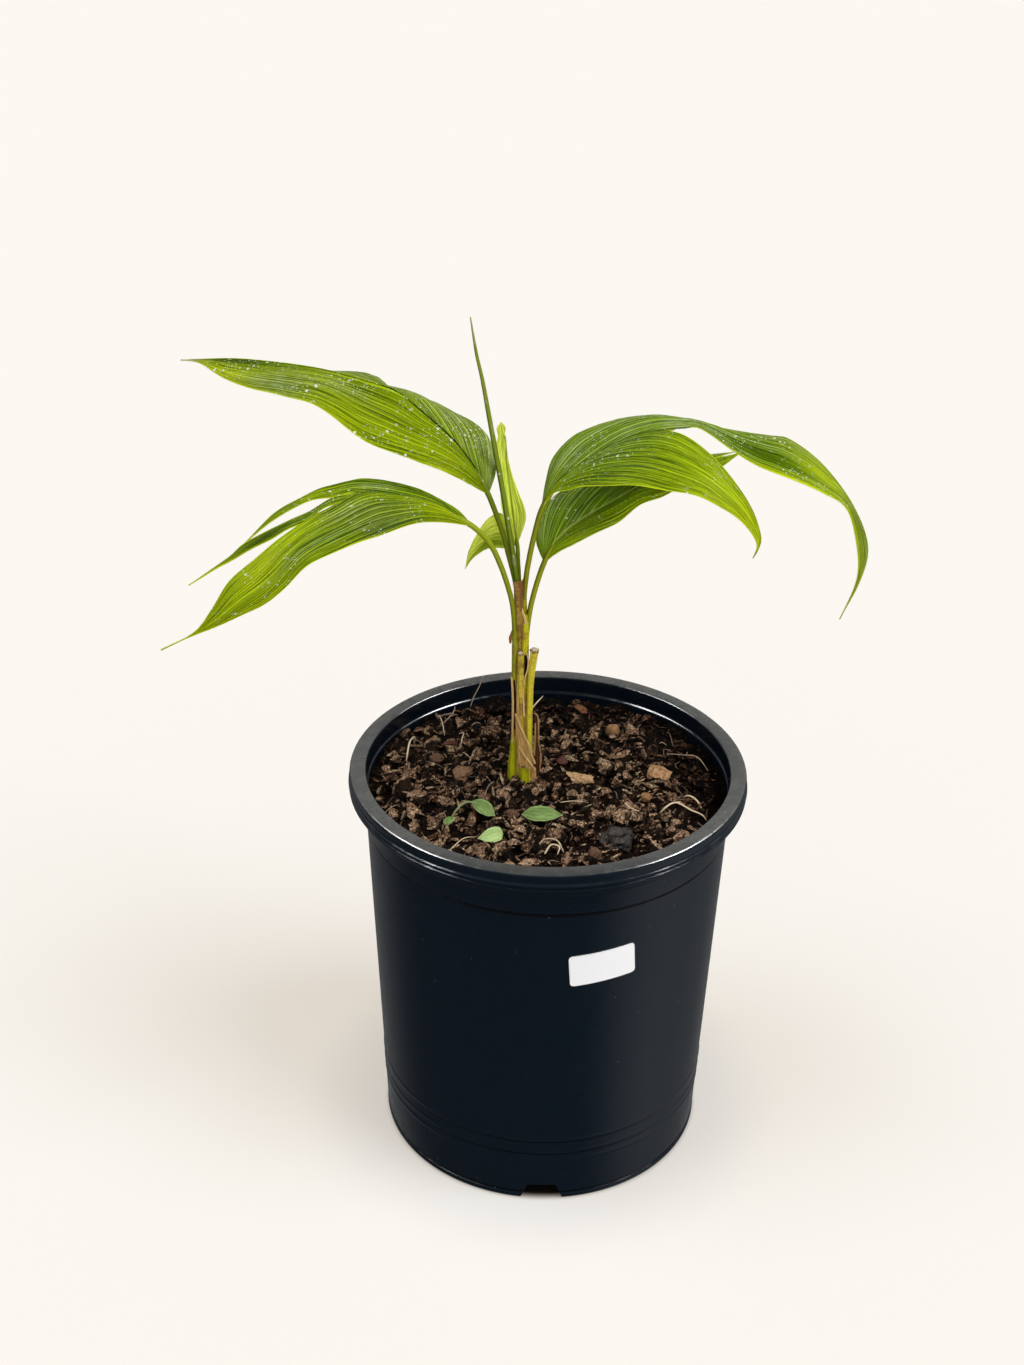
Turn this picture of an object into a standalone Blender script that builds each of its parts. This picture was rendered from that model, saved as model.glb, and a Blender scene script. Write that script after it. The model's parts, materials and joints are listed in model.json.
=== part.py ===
"""A young potted palm: nursery pot, potting mix, stem, six leaves and small weeds.

The origin is on the pot's axis at its underside, +Z is up and -Y is the front.
Sizes are millimetres, turned into metres as the meshes are made.
"""

import math
from typing import NamedTuple

import bmesh
import bpy
import numpy as np
from mathutils import Matrix, Vector, noise

MM = 0.001
GAP = 0.3
CREASE_DEGREES = 40.0
WELD_METRES = 1e-6

# Points along the tubes and the roundness of their sections
STALK_COUNT = 18
STALK_RESOLUTION = 2
STEM_COUNT = 14
STEM_RESOLUTION = 4
STUB_COUNT = 6
CUT_STALK_COUNT = 10
WEED_STALK_COUNT = 10
ROOT_COUNT = 12
ROOT_RESOLUTION = 1

# Pot
POT_HEIGHT = 211.0
RIM_RADIUS = 100.0
MOUTH_RADIUS = 91.2
WALL_TOP_RADIUS = 91.4
WALL_TOP_Z = 186.0
BASE_RADIUS = 83.4
WALL_THICKNESS = 1.8
FLOOR_TOP_Z = 12.5
FLOOR_UNDER_Z = 10.5
FLOOR_FILLET = 0.4
FOOT_WIDTH = 2.6
PAD_RADIUS = 14.0
STEP_RADIUS = 95.6
STEP_Z = 196.0
SKIRT_Z = 203.2
LEDGE_Z = 201.5
BASE_RINGS_Z = (40.5, 32.5, 27.0)
RING_HEIGHT = 0.4
NOTCH_COUNT = 3
NOTCH_WIDTH = 21.6
NOTCH_TOP_WIDTH = 14.4
NOTCH_HEIGHT = 9.4
NOTCH_INWARD = 8.0
NOTCH_OUTWARD = 6.0
NOTCH_BELOW = 2.0
DRAIN_COUNT = 6
DRAIN_RADIUS = 4.0
DRAIN_SIDES = 12
DRAIN_DEPTH = 8.0
DRAIN_CIRCLE = 60.0
POT_STEPS = 48

# Label on the wall, blank
LABEL_WIDTH = 35.0
LABEL_HEIGHT = 18.0
LABEL_THICKNESS = 0.5
LABEL_CORNER = 2.0
LABEL_CENTRE_Z = 149.5
LABEL_TURN = 16.9
LABEL_TILT = 4.6
LABEL_COLUMNS = 8
LABEL_ROWS = 6

# Potting mix
SOIL_LEVEL = 196.5
SOIL_FIT = 0.8
SOIL_CELL = 6.8
CLOD_SIZE = 17.0
CLOD_HEIGHT = 8.0
CRUMB_SIZE = 9.0
CRUMB_HEIGHT = 3.0
DISH_DEPTH = 1.5
PLUG_RISE = 10.0
SKY_RISE = 30.0

# Leaves
BLADE_THICKNESS = 0.8
NARROWEST = 1.2
PLEAT_HEIGHT = 1.7
POINTED_SHARE = 0.15


class Lobe(NamedTuple):
    """One side or strip of a leaf, between two rails of points in mm."""

    inner: tuple
    outer: tuple
    rows: int
    columns: int
    arch: float


class Frond(NamedTuple):
    """A leaf: its stalk's centre line with a radius at each point, and its lobes."""

    stalk: tuple
    radii: tuple
    lobes: tuple


# The crown's centre lines. Each stalk starts in a socket of the stem.
STEM_PATH = ((-14, 8.4, 150), (-14.2, 8.4, 197), (-14.6, 8.5, 225), (-14.8, 8.6, 250), (-15, 8.7, 272),
             (-15.6, 8.4, 286), (-16.2, 7.6, 298), (-16.9, 7.2, 308))
STEM_RADII = (4.0, 4.3, 3.9, 3.6, 3.6, 3.1, 2.3, 1.6)

UPPER_LEFT_RACHIS = ((-31, 16, 350), (-38, 19, 363), (-49, 23, 376), (-62, 28, 386), (-76, 34, 395))
UPPER_LEFT = Frond(
    stalk=((-16.6, 11.6, 289), (-17.4, 12.2, 303), (-18.9, 12.8, 311), (-21.2, 13.8, 320),
           (-24.1, 14.8, 331)) + UPPER_LEFT_RACHIS + ((-85, 38, 397),),
    radii=(1.0, 1.2, 1.35, 1.35, 1.35, 1.35, 1.3, 1.2, 1.1, 1.0, 0.8),
    lobes=(
        Lobe(
            UPPER_LEFT_RACHIS + ((-100, 44, 399), (-124, 51, 401), (-152, 58, 401), (-172, 65, 398),
                                 (-182, 69, 396)),
            ((-31, 16, 350), (-37, 12, 355), (-52, 8, 365), (-71, 8, 372), (-91, 13, 379), (-112, 23, 391),
             (-128, 29, 393), (-143, 38, 393), (-159, 50, 394), (-172, 62, 397), (-182, 69, 396)),
            rows=18, columns=8, arch=3.0,
        ),
        Lobe(
            UPPER_LEFT_RACHIS + ((-88, 40, 396), (-100, 48, 396), (-118, 60, 394), (-137, 72, 392),
                                 (-153, 82, 389)),
            ((-31, 16, 350), (-28, 24, 357), (-28, 34, 362), (-33, 45, 372), (-49, 58, 374), (-64, 66, 378),
             (-79, 72, 380), (-103, 81, 382), (-130, 85, 385), (-153, 82, 389)),
            rows=14, columns=6, arch=2.0,
        ),
    ),
)

LOWER_LEFT_RACHIS = ((-38, -3, 342), (-55, -11, 357), (-74, -20, 365), (-88, -27, 369))
LOWER_LEFT = Frond(
    stalk=((-17.6, 5.8, 280), (-18.8, 5.0, 296), (-21, 3.6, 307), (-25, 2.4, 320),
           (-30, 0.8, 331.5)) + LOWER_LEFT_RACHIS + ((-96, -31, 369),),
    radii=(1.1, 1.3, 1.35, 1.4, 1.4, 1.4, 1.35, 1.2, 1.0, 0.8),
    lobes=(
        Lobe(
            LOWER_LEFT_RACHIS + ((-99, -31, 368), (-111, -34, 367), (-126, -39, 360), (-139, -45, 351)),
            ((-38, -3, 342), (-46, 1, 349), (-58, 3, 355), (-73, 2, 361), (-83, -1, 364), (-98, -9, 366),
             (-112, -21, 365), (-126, -33, 361), (-139, -45, 351)),
            rows=13, columns=4, arch=1.5,
        ),
        Lobe(
            ((-85, -26, 368), (-99, -33, 369), (-110, -38, 364), (-120, -43, 361), (-137, -52, 355),
             (-145, -56, 349), (-162, -64, 339)),
            ((-85, -26, 368), (-101, -39, 367), (-110, -45, 363), (-123, -51, 358), (-131, -53, 354),
             (-145, -59, 348), (-162, -64, 339)),
            rows=12, columns=2, arch=0.5,
        ),
        Lobe(
            LOWER_LEFT_RACHIS + ((-101, -38, 366), (-111, -46, 363), (-122, -57, 359), (-132, -63, 352),
                                 (-143, -69, 344), (-151, -73, 332), (-159, -76, 322), (-173, -82, 316)),
            ((-38, -3, 342), (-52, -19, 351), (-62, -32, 356), (-80, -49, 357), (-94, -59, 355),
             (-108, -68, 352), (-118, -71, 342), (-127, -73, 335), (-137, -74, 330), (-149, -74, 324),
             (-161, -77, 320), (-173, -82, 316)),
            rows=18, columns=8, arch=3.0,
        ),
    ),
)

UPPER_RIGHT_RACHIS = ((-6, 7, 346), (-1, 6, 358), (6, 4, 366), (16, 2, 375), (30, -1, 385), (44, -4, 391))
UPPER_RIGHT = Frond(
    stalk=((-13.4, 11, 283), (-13.3, 10.8, 297), (-12.6, 10.4, 309), (-11.2, 9.6, 320),
           (-9.1, 8.6, 332)) + UPPER_RIGHT_RACHIS + ((54, -5, 393),),
    radii=(1.0, 1.2, 1.4, 1.4, 1.4, 1.4, 1.35, 1.3, 1.2, 1.1, 1.0, 0.8),
    lobes=(
        Lobe(
            UPPER_RIGHT_RACHIS + ((58, -10, 393), (71, -17, 384), (82, -24, 373), (89, -29, 363),
                                  (93, -32, 352), (92, -34, 346), (90, -34, 342)),
            ((-6, 7, 346), (-1, -1, 358), (6, -10, 364), (19, -23, 372), (36, -33, 376), (49, -39, 377),
             (63, -42, 375), (77, -42, 368), (86, -40, 359), (91, -37, 350), (90, -34, 342)),
            rows=18, columns=8, arch=3.5,
        ),
        Lobe(
            UPPER_RIGHT_RACHIS + ((58, -5, 393), (66, -3, 392), (81, -4, 382), (93, -5, 375), (109, -9, 370),
                                  (122, -11, 365), (134, -14, 358), (140, -16, 340), (141, -18, 324),
                                  (135, -19, 304)),
            ((-6, 7, 346), (-4, 14, 357), (-1, 22, 366), (6, 29, 373), (15, 33, 377), (31, 35, 381),
             (47, 35, 383), (64, 32, 380), (78, 28, 380), (90, 24, 380), (102, 21, 380), (110, 16, 380),
             (125, 6, 371), (138, -5, 357), (145.5, -14, 340), (143, -18, 324), (135, -19, 304)),
            rows=26, columns=6, arch=3.0,
        ),
    ),
)

LOWER_RIGHT_RACHIS = (
    (-4, 11, 317), (-1, 12, 324), (6, 15, 332), (18, 18, 340), (31, 23, 346), (41, 26, 351))
LOWER_RIGHT = Frond(
    stalk=((-12.2, 7.2, 270), (-11.4, 7.6, 284), (-10.2, 8.6, 294), (-8.2, 9.8, 303), (-6, 10.6, 311))
    + LOWER_RIGHT_RACHIS + ((58, 32, 357),),
    radii=(1.1, 1.3, 1.4, 1.4, 1.4, 1.4, 1.3, 1.2, 1.2, 1.1, 1.0, 0.8),
    lobes=(
        Lobe(
            LOWER_RIGHT_RACHIS + ((58, 32, 357), (75, 37, 361), (85, 40, 362), (91, 42, 363)),
            ((-4, 11, 317), (2, 9, 323), (10, 7, 329), (22, 6, 336), (32, 7, 342), (43, 11, 349),
             (54, 17, 353), (67, 27, 357), (80, 36, 360), (91, 42, 363)),
            rows=13, columns=4, arch=1.5,
        ),
        Lobe(
            LOWER_RIGHT_RACHIS + ((58, 33, 357), (72, 38.5, 359), (87, 42.5, 362.5)),
            ((-4, 11, 317), (-8, 15, 327), (-6, 24, 336), (1, 32, 343), (13, 41, 347), (26, 47, 348),
             (40, 49, 351), (52, 48, 354), (66, 45, 358.5), (77, 44.5, 360.5), (87, 42.5, 362.5)),
            rows=12, columns=6, arch=2.0,
        ),
    ),
)

YOUNG_MIDLINE = ((-17, 18, 323), (-19, 21, 335), (-21, 24, 349), (-23, 25, 363), (-23, 25, 373),
                 (-24, 25, 382))
YOUNG_LEAF = Frond(
    stalk=((-14.6, 12.4, 274), (-14.9, 13.4, 286), (-15.4, 15, 300), (-16.4, 17, 314), (-17, 18, 323),
           (-19, 21, 335)),
    radii=(0.9, 0.9, 1.0, 1.1, 1.1, 0.7),
    lobes=(
        Lobe(
            YOUNG_MIDLINE,
            ((-17, 18, 323), (-12, 20, 336), (-15, 23, 346), (-19, 26, 360), (-21.5, 26, 370),
             (-21.5, 26, 377), (-24, 25, 382)),
            rows=9, columns=3, arch=0.8,
        ),
        Lobe(
            YOUNG_MIDLINE,
            ((-17, 18, 323), (-22, 18, 335), (-24, 18, 344), (-26, 19, 351), (-26, 22, 363),
             (-25.5, 24, 377), (-24, 25, 382)),
            rows=9, columns=3, arch=0.8,
        ),
        Lobe(
            ((-17, 18, 323), (-24, 22, 337), (-30, 22, 336), (-35, 21, 330), (-40, 19, 320), (-42, 18, 310)),
            ((-17, 18, 323), (-23, 21, 320), (-31, 20, 320), (-38, 18, 316), (-42, 18, 310)),
            rows=8, columns=4, arch=2.0,
        ),
    ),
)

SPEAR_PATH = ((-15.8, 8.6, 286), (-16.4, 8.8, 298), (-17.2, 9.2, 309), (-19.3, 10, 324), (-21.6, 10.4, 338),
              (-24.2, 10.8, 354), (-27.1, 11, 370), (-30.7, 11, 390), (-34.1, 11, 409), (-36.9, 10.6, 422),
              (-39.6, 10, 439))
SPEAR_RADII = (0.9, 1.2, 1.35, 1.35, 1.3, 1.3, 1.2, 1.1, 0.9, 0.7, 0.35)

# What is left of older leaves on the stem
CUT_STALK_PATH = ((-8.8, 4.4, 186), (-9.3, 4.6, 206), (-9.7, 5, 228), (-9.6, 5, 250), (-9, 4.4, 262),
                  (-7.8, 3.6, 274))
CUT_STALK_RADII = (1.8, 1.7, 1.6, 1.6, 1.6, 1.9)
LEFT_STUB_PATH = ((-18, 5.8, 190), (-18.1, 5.8, 205), (-17.2, 6.4, 221))
LEFT_STUB_RADII = (2.2, 2.0, 1.5)
FRONT_STUB_PATH = ((-12, 4.6, 190), (-12, 4.4, 199), (-12.2, 4.6, 207))
FRONT_STUB_RADII = (2.6, 2.5, 2.0)
DRY_THICKNESS = 0.6
DRY_SHEATH = Lobe(
    ((-16.9, 4.0, 236), (-15.8, 3.4, 224), (-14.4, 2.6, 213)),
    ((-15.2, 3.6, 233), (-10.4, 2.2, 219), (-6.6, 1.8, 204)),
    rows=8, columns=3, arch=0.3,
)
DRY_STRIP = Lobe(
    ((-7.2, 3.4, 239), (-5.6, 3.4, 222), (-6.0, 3.4, 194)),
    ((-5.8, 4.4, 239), (-3.6, 4.4, 222), (-4.2, 4.4, 194)),
    rows=8, columns=2, arch=0.2,
)

# Weeds: stalk from its root, and leaves by their two margins
WEED_THICKNESS = 0.7
WEED_STALK_RADIUS = 0.7
WEEDS = {
    "weed_right": (
        ((-7, -36, 186), (-8, -35.5, 197), (-11, -35, 202.5), (-8, -35.5, 204)),
        (
            (((-13, -35, 203), (-8, -31, 205), (0, -31, 205), (7, -35, 203)),
             ((-13, -35, 203), (-8, -40, 203), (0, -40, 203), (7, -35, 203))),
        ),
    ),
    "weed_front": (
        ((-24, -46, 186), (-24, -48, 197), (-23, -50, 201), (-24, -52, 202)),
        (
            (((-22, -50, 201.5), (-24, -46.5, 203), (-29, -48, 203), (-34, -55, 202)),
             ((-22, -50, 201.5), (-23, -56, 202), (-28, -59, 202), (-34, -55, 202))),
        ),
    ),
    "weed_left": (
        ((-48, -32, 186), (-47.5, -33, 198), (-44, -31, 204), (-40, -29, 206), (-34, -31, 206.6)),
        (
            (((-38, -28.5, 206), (-33, -27.5, 207), (-28, -31, 206), (-26, -38, 204)),
             ((-38, -28.5, 206), (-35, -35, 205), (-30, -38, 204), (-26, -38, 204))),
            (((-47.2, -32.2, 198.6), (-45.5, -35, 200.5), (-46.5, -39, 201), (-49, -41, 200)),
             ((-47.8, -32.2, 198.6), (-50.5, -35, 200), (-51, -39, 200), (-49, -41, 200))),
        ),
    ),
}

ROOT_RADIUS = 0.6
ROOTS = {
    "root_right": ((54, -24, 194), (57, -25, 200), (63, -24, 201.5), (70, -28, 200.5), (76, -29, 199),
                   (80, -30, 194)),
    "root_back_right": ((66, -10, 194), (69, -15, 200.5), (74, -19, 201), (78, -22, 194)),
    "root_left": ((-70, 42, 194), (-69, 40, 201), (-71, 32, 202), (-72, 24, 200), (-73, 20, 194)),
    "root_far_left": ((-56, 60, 193), (-56, 59, 203), (-52, 56, 207), (-47, 52, 209)),
}


class Chip(NamedTuple):
    """A loose bark chip or pebble on the mix: its place, size and turn."""

    name: str
    x: float
    y: float
    size: tuple
    turn: float
    colour: tuple


CHIPS = (
    Chip("pebble_tan", 35, 55, (8, 7.5, 7), 20, (0.45, 0.25, 0.12)),
    Chip("chip_tan_flat", 57, 9, (12, 11, 5), 30, (0.42, 0.22, 0.10)),
    Chip("husk_tan", 16, 8, (15, 7, 4), -12, (0.45, 0.24, 0.11)),
    Chip("pebble_small", 49, -11, (5.5, 5, 5), 0, (0.40, 0.24, 0.13)),
    Chip("chip_red", 8, 24, (7, 5, 4), 40, (0.22, 0.06, 0.03)),
    Chip("shard_orange", 18, 72, (9, 5, 4), 10, (0.40, 0.13, 0.04)),
    Chip("clod_dark", 33, -48, (17, 15, 12), 15, (0.03, 0.025, 0.022)),
    Chip("pebble_brown", 22, -60, (7.5, 7, 6.5), 70, (0.20, 0.10, 0.05)),
    Chip("chip_left_tan", -43, 12, (10, 8, 4.5), 60, (0.42, 0.25, 0.15)),
    Chip("chip_left_brown", -57, 24, (9, 6, 4), -35, (0.25, 0.12, 0.06)),
    Chip("chip_far_red", -50, 38, (8, 5, 4), 15, (0.20, 0.06, 0.03)),
    Chip("chip_front_red", -18, -30, (6, 5, 4.5), 0, (0.20, 0.05, 0.03)),
)
CHIP_SINK = 0.45
LARGE_CHIP = 8.5
CHIP_ROUGHNESS = 0.22
CHIP_GRAIN = 2.5


def clear_scene():
    """Remove every object and collection of the start scene."""
    for old in list(bpy.data.objects):
        bpy.data.objects.remove(old, do_unlink=True)
    for old in list(bpy.data.collections):
        bpy.data.collections.remove(old)


def make_collection(name, hidden=False):
    """A new collection in the scene, hidden from renders when it holds cutters."""
    made = bpy.data.collections.new(name)
    made.hide_render = hidden
    bpy.context.scene.collection.children.link(made)
    return made


def finish(name, colour, roughness, metallic=0.0):
    """A Principled material with a plain colour."""
    made = bpy.data.materials.new(name)
    made.use_nodes = True
    shader = made.node_tree.nodes["Principled BSDF"]
    shader.inputs["Base Color"].default_value = (*colour, 1.0)
    shader.inputs["Roughness"].default_value = roughness
    shader.inputs["Metallic"].default_value = metallic
    made.diffuse_color = (*colour, 1.0)
    return made


def add_object(name, data, collection):
    """Link a new object that holds the given data."""
    made = bpy.data.objects.new(name, data)
    collection.objects.link(made)
    return made


def mesh_object(name, shape, collection):
    """Turn a bmesh into an object and free the bmesh."""
    mesh = bpy.data.meshes.new(name)
    shape.to_mesh(mesh)
    shape.free()
    return add_object(name, mesh, collection)


def apply_modifiers(target):
    """Replace the object's data by its evaluated mesh."""
    bpy.context.view_layer.update()
    evaluated = target.evaluated_get(bpy.context.evaluated_depsgraph_get())
    mesh = bpy.data.meshes.new_from_object(evaluated)
    target.modifiers.clear()
    target.data = mesh


def join_or_cut(target, tools, operation, solver="EXACT"):
    """Apply one Boolean of the target with a collection of tools, then remove the tools."""
    group = make_collection(target.name + "_tools", hidden=True)
    for tool in tools:
        for holder in list(tool.users_collection):
            holder.objects.unlink(tool)
        tool.display_type = "WIRE"
        tool.hide_render = True
        group.objects.link(tool)
    step = target.modifiers.new("join_or_cut", "BOOLEAN")
    step.operation = operation
    step.solver = solver
    step.operand_type = "COLLECTION"
    step.collection = group
    apply_modifiers(target)
    for tool in list(group.objects):
        bpy.data.objects.remove(tool, do_unlink=True)
    bpy.data.collections.remove(group)


def smooth_path(points, count):
    """Evenly spaced points on a Catmull-Rom curve through the given points."""
    given = np.array(points, float)
    held = np.vstack([2 * given[0] - given[1], given, 2 * given[-1] - given[-2]])
    fine = []
    for a, b, c, d in zip(held, held[1:], held[2:], held[3:]):
        for t in np.linspace(0, 1, 12, endpoint=False):
            fine.append(0.5 * (2 * b + (c - a) * t + (2 * a - 5 * b + 4 * c - d) * t**2
                               + (3 * b - a - 3 * c + d) * t**3))
    fine.append(given[-1])
    fine = np.array(fine)
    length = np.concatenate([[0], np.cumsum(np.linalg.norm(np.diff(fine, axis=0), axis=1))])
    even = np.linspace(0, length[-1], count)
    return np.column_stack([np.interp(even, length, fine[:, k]) for k in range(3)])


def smooth_values(values, count):
    """Values spread evenly over the given count by straight interpolation."""
    return np.interp(np.linspace(0, len(values) - 1, count), np.arange(len(values)), values)


def tube(name, path, radii, collection, count, resolution=STALK_RESOLUTION, grow=0.0, extend=0.0):
    """A round tube along a smooth path as a closed mesh; grow and extend make it a cutter in mm."""
    points = smooth_path(path, count)
    radius = smooth_values(radii, count) + grow
    if extend:
        points[0] += extend * (points[0] - points[1]) / np.linalg.norm(points[0] - points[1])
        points[-1] += extend * (points[-1] - points[-2]) / np.linalg.norm(points[-1] - points[-2])
    curve = bpy.data.curves.new(name, "CURVE")
    curve.dimensions = "3D"
    curve.bevel_depth = MM
    curve.bevel_resolution = resolution
    curve.use_fill_caps = True
    spline = curve.splines.new("POLY")
    spline.points.add(count - 1)
    for target, point, width in zip(spline.points, points, radius):
        target.co = (*(point * MM), 1.0)
        target.radius = width
    drawn = add_object(name, curve, collection)
    bpy.context.view_layer.update()
    evaluated = drawn.evaluated_get(bpy.context.evaluated_depsgraph_get())
    mesh = bpy.data.meshes.new_from_object(evaluated)
    bpy.data.objects.remove(drawn, do_unlink=True)
    shape = bmesh.new()
    shape.from_mesh(mesh)
    bmesh.ops.remove_doubles(shape, verts=shape.verts, dist=WELD_METRES)
    bmesh.ops.recalc_face_normals(shape, faces=shape.faces)
    return mesh_object(name, shape, collection)


def lobe_frame(lobe):
    """Rows of a lobe: inner point, unit vector across, width and unit normal, in mm."""
    inner = smooth_path(lobe.inner, lobe.rows + 1)
    outer = smooth_path(lobe.outer, lobe.rows + 1)
    span = outer - inner
    width = np.linalg.norm(span, axis=1)
    wide = np.flatnonzero(width > POINTED_SHARE * width.max())
    nearest = wide[np.abs(np.arange(len(width))[:, None] - wide[None, :]).argmin(axis=1)]
    across = span[nearest] / width[nearest][:, None]
    along = np.gradient(inner + outer, axis=0)
    normal = np.cross(along, across)
    normal /= np.linalg.norm(normal, axis=1)[:, None]
    if normal[:, 2].mean() < 0:
        normal = -normal
    thin = width < NARROWEST
    middle = (inner + outer) / 2
    inner[thin] = middle[thin] - across[thin] * NARROWEST / 2
    width[thin] = NARROWEST
    return inner, across, width, normal


def blade(name, lobe, collection, thickness, pleat=PLEAT_HEIGHT):
    """A pleated strip between the lobe's rails, as an open surface with Solidify."""
    inner, across, width, normal = lobe_frame(lobe)
    shape = bmesh.new()
    bmesh.ops.create_grid(shape, x_segments=lobe.rows, y_segments=lobe.columns, size=0.5)
    widest = width.max()
    for vert in shape.verts:
        row = round((vert.co.x + 0.5) * lobe.rows)
        column = round((vert.co.y + 0.5) * lobe.columns)
        share = column / lobe.columns
        fullness = width[row] / widest
        lift = lobe.arch * math.sin(math.pi * share) * fullness
        if 0 < column < lobe.columns:
            lift += pleat * fullness * (0.5 if column % 2 else -0.5)
        place = inner[row] + across[row] * width[row] * share + normal[row] * lift
        vert.co = Vector(place) * MM
    bmesh.ops.triangulate(shape, faces=shape.faces)
    made = mesh_object(name, shape, collection)
    solid = made.modifiers.new("thickness", "SOLIDIFY")
    solid.thickness = thickness * MM
    solid.offset = 0.0
    apply_modifiers(made)
    return made


def build_frond(name, frond, collection, material):
    """Stalk and lobes of one leaf, joined in one closed body."""
    made = tube(name, frond.stalk, frond.radii, collection, STALK_COUNT)
    lobes = [blade(f"{name}_lobe_{number}", lobe, collection, BLADE_THICKNESS)
             for number, lobe in enumerate(frond.lobes)]
    join_or_cut(made, lobes, "UNION", "MANIFOLD")
    return dress(made, material)


def dress(target, material):
    """Give the object its one material and smooth shading with sharp creases."""
    target.data.materials.clear()
    target.data.materials.append(material)
    target.data.shade_smooth()
    target.data.set_sharp_from_angle(angle=math.radians(CREASE_DEGREES))
    return target


def wall_radius(z):
    """Outer radius of the plain tapered wall at a height."""
    return BASE_RADIUS + (WALL_TOP_RADIUS - BASE_RADIUS) * z / WALL_TOP_Z


def pot_profile():
    """Inside from the floor's centre up, over the rim, down the outside and under to the axis."""
    inside = [
        (0, FLOOR_TOP_Z),
        (wall_radius(FLOOR_TOP_Z) - WALL_THICKNESS - FLOOR_FILLET, FLOOR_TOP_Z),
        (wall_radius(FLOOR_TOP_Z) - WALL_THICKNESS, FLOOR_TOP_Z + FLOOR_FILLET),
        (WALL_TOP_RADIUS - WALL_THICKNESS, WALL_TOP_Z),
        (WALL_TOP_RADIUS - WALL_THICKNESS + 0.4, LEDGE_Z),
        (MOUTH_RADIUS - 0.2, LEDGE_Z + 1.0),
        (MOUTH_RADIUS - 0.2, POT_HEIGHT - 0.8),
        (MOUTH_RADIUS + 0.5, POT_HEIGHT),
    ]
    rim = [
        (RIM_RADIUS - 1.6, POT_HEIGHT),
        (RIM_RADIUS - 0.4, POT_HEIGHT - 0.6),
        (RIM_RADIUS, POT_HEIGHT - 2.0),
        (RIM_RADIUS - 0.4, SKIRT_Z + 1.6),
        (RIM_RADIUS - 1.2, SKIRT_Z),
        (STEP_RADIUS + 1.0, SKIRT_Z - 0.6),
        (STEP_RADIUS, SKIRT_Z - 1.8),
        (STEP_RADIUS - 0.3, STEP_Z + 1.0),
        (STEP_RADIUS - 1.3, STEP_Z),
        (WALL_TOP_RADIUS + 0.6, STEP_Z - 1.2),
        (WALL_TOP_RADIUS + 0.3, WALL_TOP_Z),
        (WALL_TOP_RADIUS - 0.4, WALL_TOP_Z - 1.4),
    ]
    rings = []
    for height in BASE_RINGS_Z:
        rings += [
            (wall_radius(height + 1.0), height + 1.0),
            (wall_radius(height) + RING_HEIGHT, height),
            (wall_radius(height - 1.0), height - 1.0),
        ]
    under = [
        (BASE_RADIUS + 0.1, 1.0),
        (BASE_RADIUS - 0.6, 0),
        (BASE_RADIUS - FOOT_WIDTH, 0),
        (BASE_RADIUS - FOOT_WIDTH, FLOOR_UNDER_Z),
        (PAD_RADIUS + 0.8, FLOOR_UNDER_Z),
        (PAD_RADIUS, 0),
        (0, 0),
    ]
    return inside + rim + rings + under


def build_pot(collection, material):
    """The nursery pot: a turned shell with drainage notches in its foot and holes in its floor."""
    shape = bmesh.new()
    ring = [shape.verts.new((r * MM, 0, z * MM)) for r, z in pot_profile()]
    for start, end in zip(ring, ring[1:]):
        shape.edges.new((start, end))
    pot = mesh_object("pot", shape, collection)
    screw = pot.modifiers.new("turn", "SCREW")
    screw.steps = screw.render_steps = POT_STEPS
    screw.use_merge_vertices = True
    screw.merge_threshold = WELD_METRES
    apply_modifiers(pot)
    cutters = []
    for number in range(NOTCH_COUNT):
        turn = Matrix.Rotation(math.tau * number / NOTCH_COUNT - math.pi / 2, 4, "Z")
        cutters.append(notch_cutter(turn, collection))
    for number in range(DRAIN_COUNT):
        turn = Matrix.Rotation(math.tau * number / DRAIN_COUNT - math.pi / 2, 4, "Z")
        cutters.append(drain_cutter(turn, collection))
    join_or_cut(pot, cutters, "DIFFERENCE")
    return dress(pot, material)


def notch_cutter(turn, collection):
    """A tapered block through the foot ring, narrower at its top."""
    shape = bmesh.new()
    bmesh.ops.create_cube(shape, size=1.0)
    for vert in shape.verts:
        width = NOTCH_TOP_WIDTH if vert.co.z > 0 else NOTCH_WIDTH
        height = NOTCH_HEIGHT if vert.co.z > 0 else -NOTCH_BELOW
        reach = BASE_RADIUS + (NOTCH_OUTWARD if vert.co.x > 0 else -NOTCH_INWARD)
        vert.co = Vector((reach, math.copysign(width / 2, vert.co.y), height)) * MM
    shape.transform(turn)
    return mesh_object("notch", shape, collection)


def drain_cutter(turn, collection):
    """A round hole through the pot's floor."""
    shape = bmesh.new()
    bmesh.ops.create_cone(shape, cap_ends=True, segments=DRAIN_SIDES, radius1=DRAIN_RADIUS * MM,
                          radius2=DRAIN_RADIUS * MM, depth=DRAIN_DEPTH * MM)
    middle = (FLOOR_TOP_Z + FLOOR_UNDER_Z) / 2
    shape.transform(turn @ Matrix.Translation((DRAIN_CIRCLE * MM, 0, middle * MM)))
    return mesh_object("drain", shape, collection)


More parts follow.
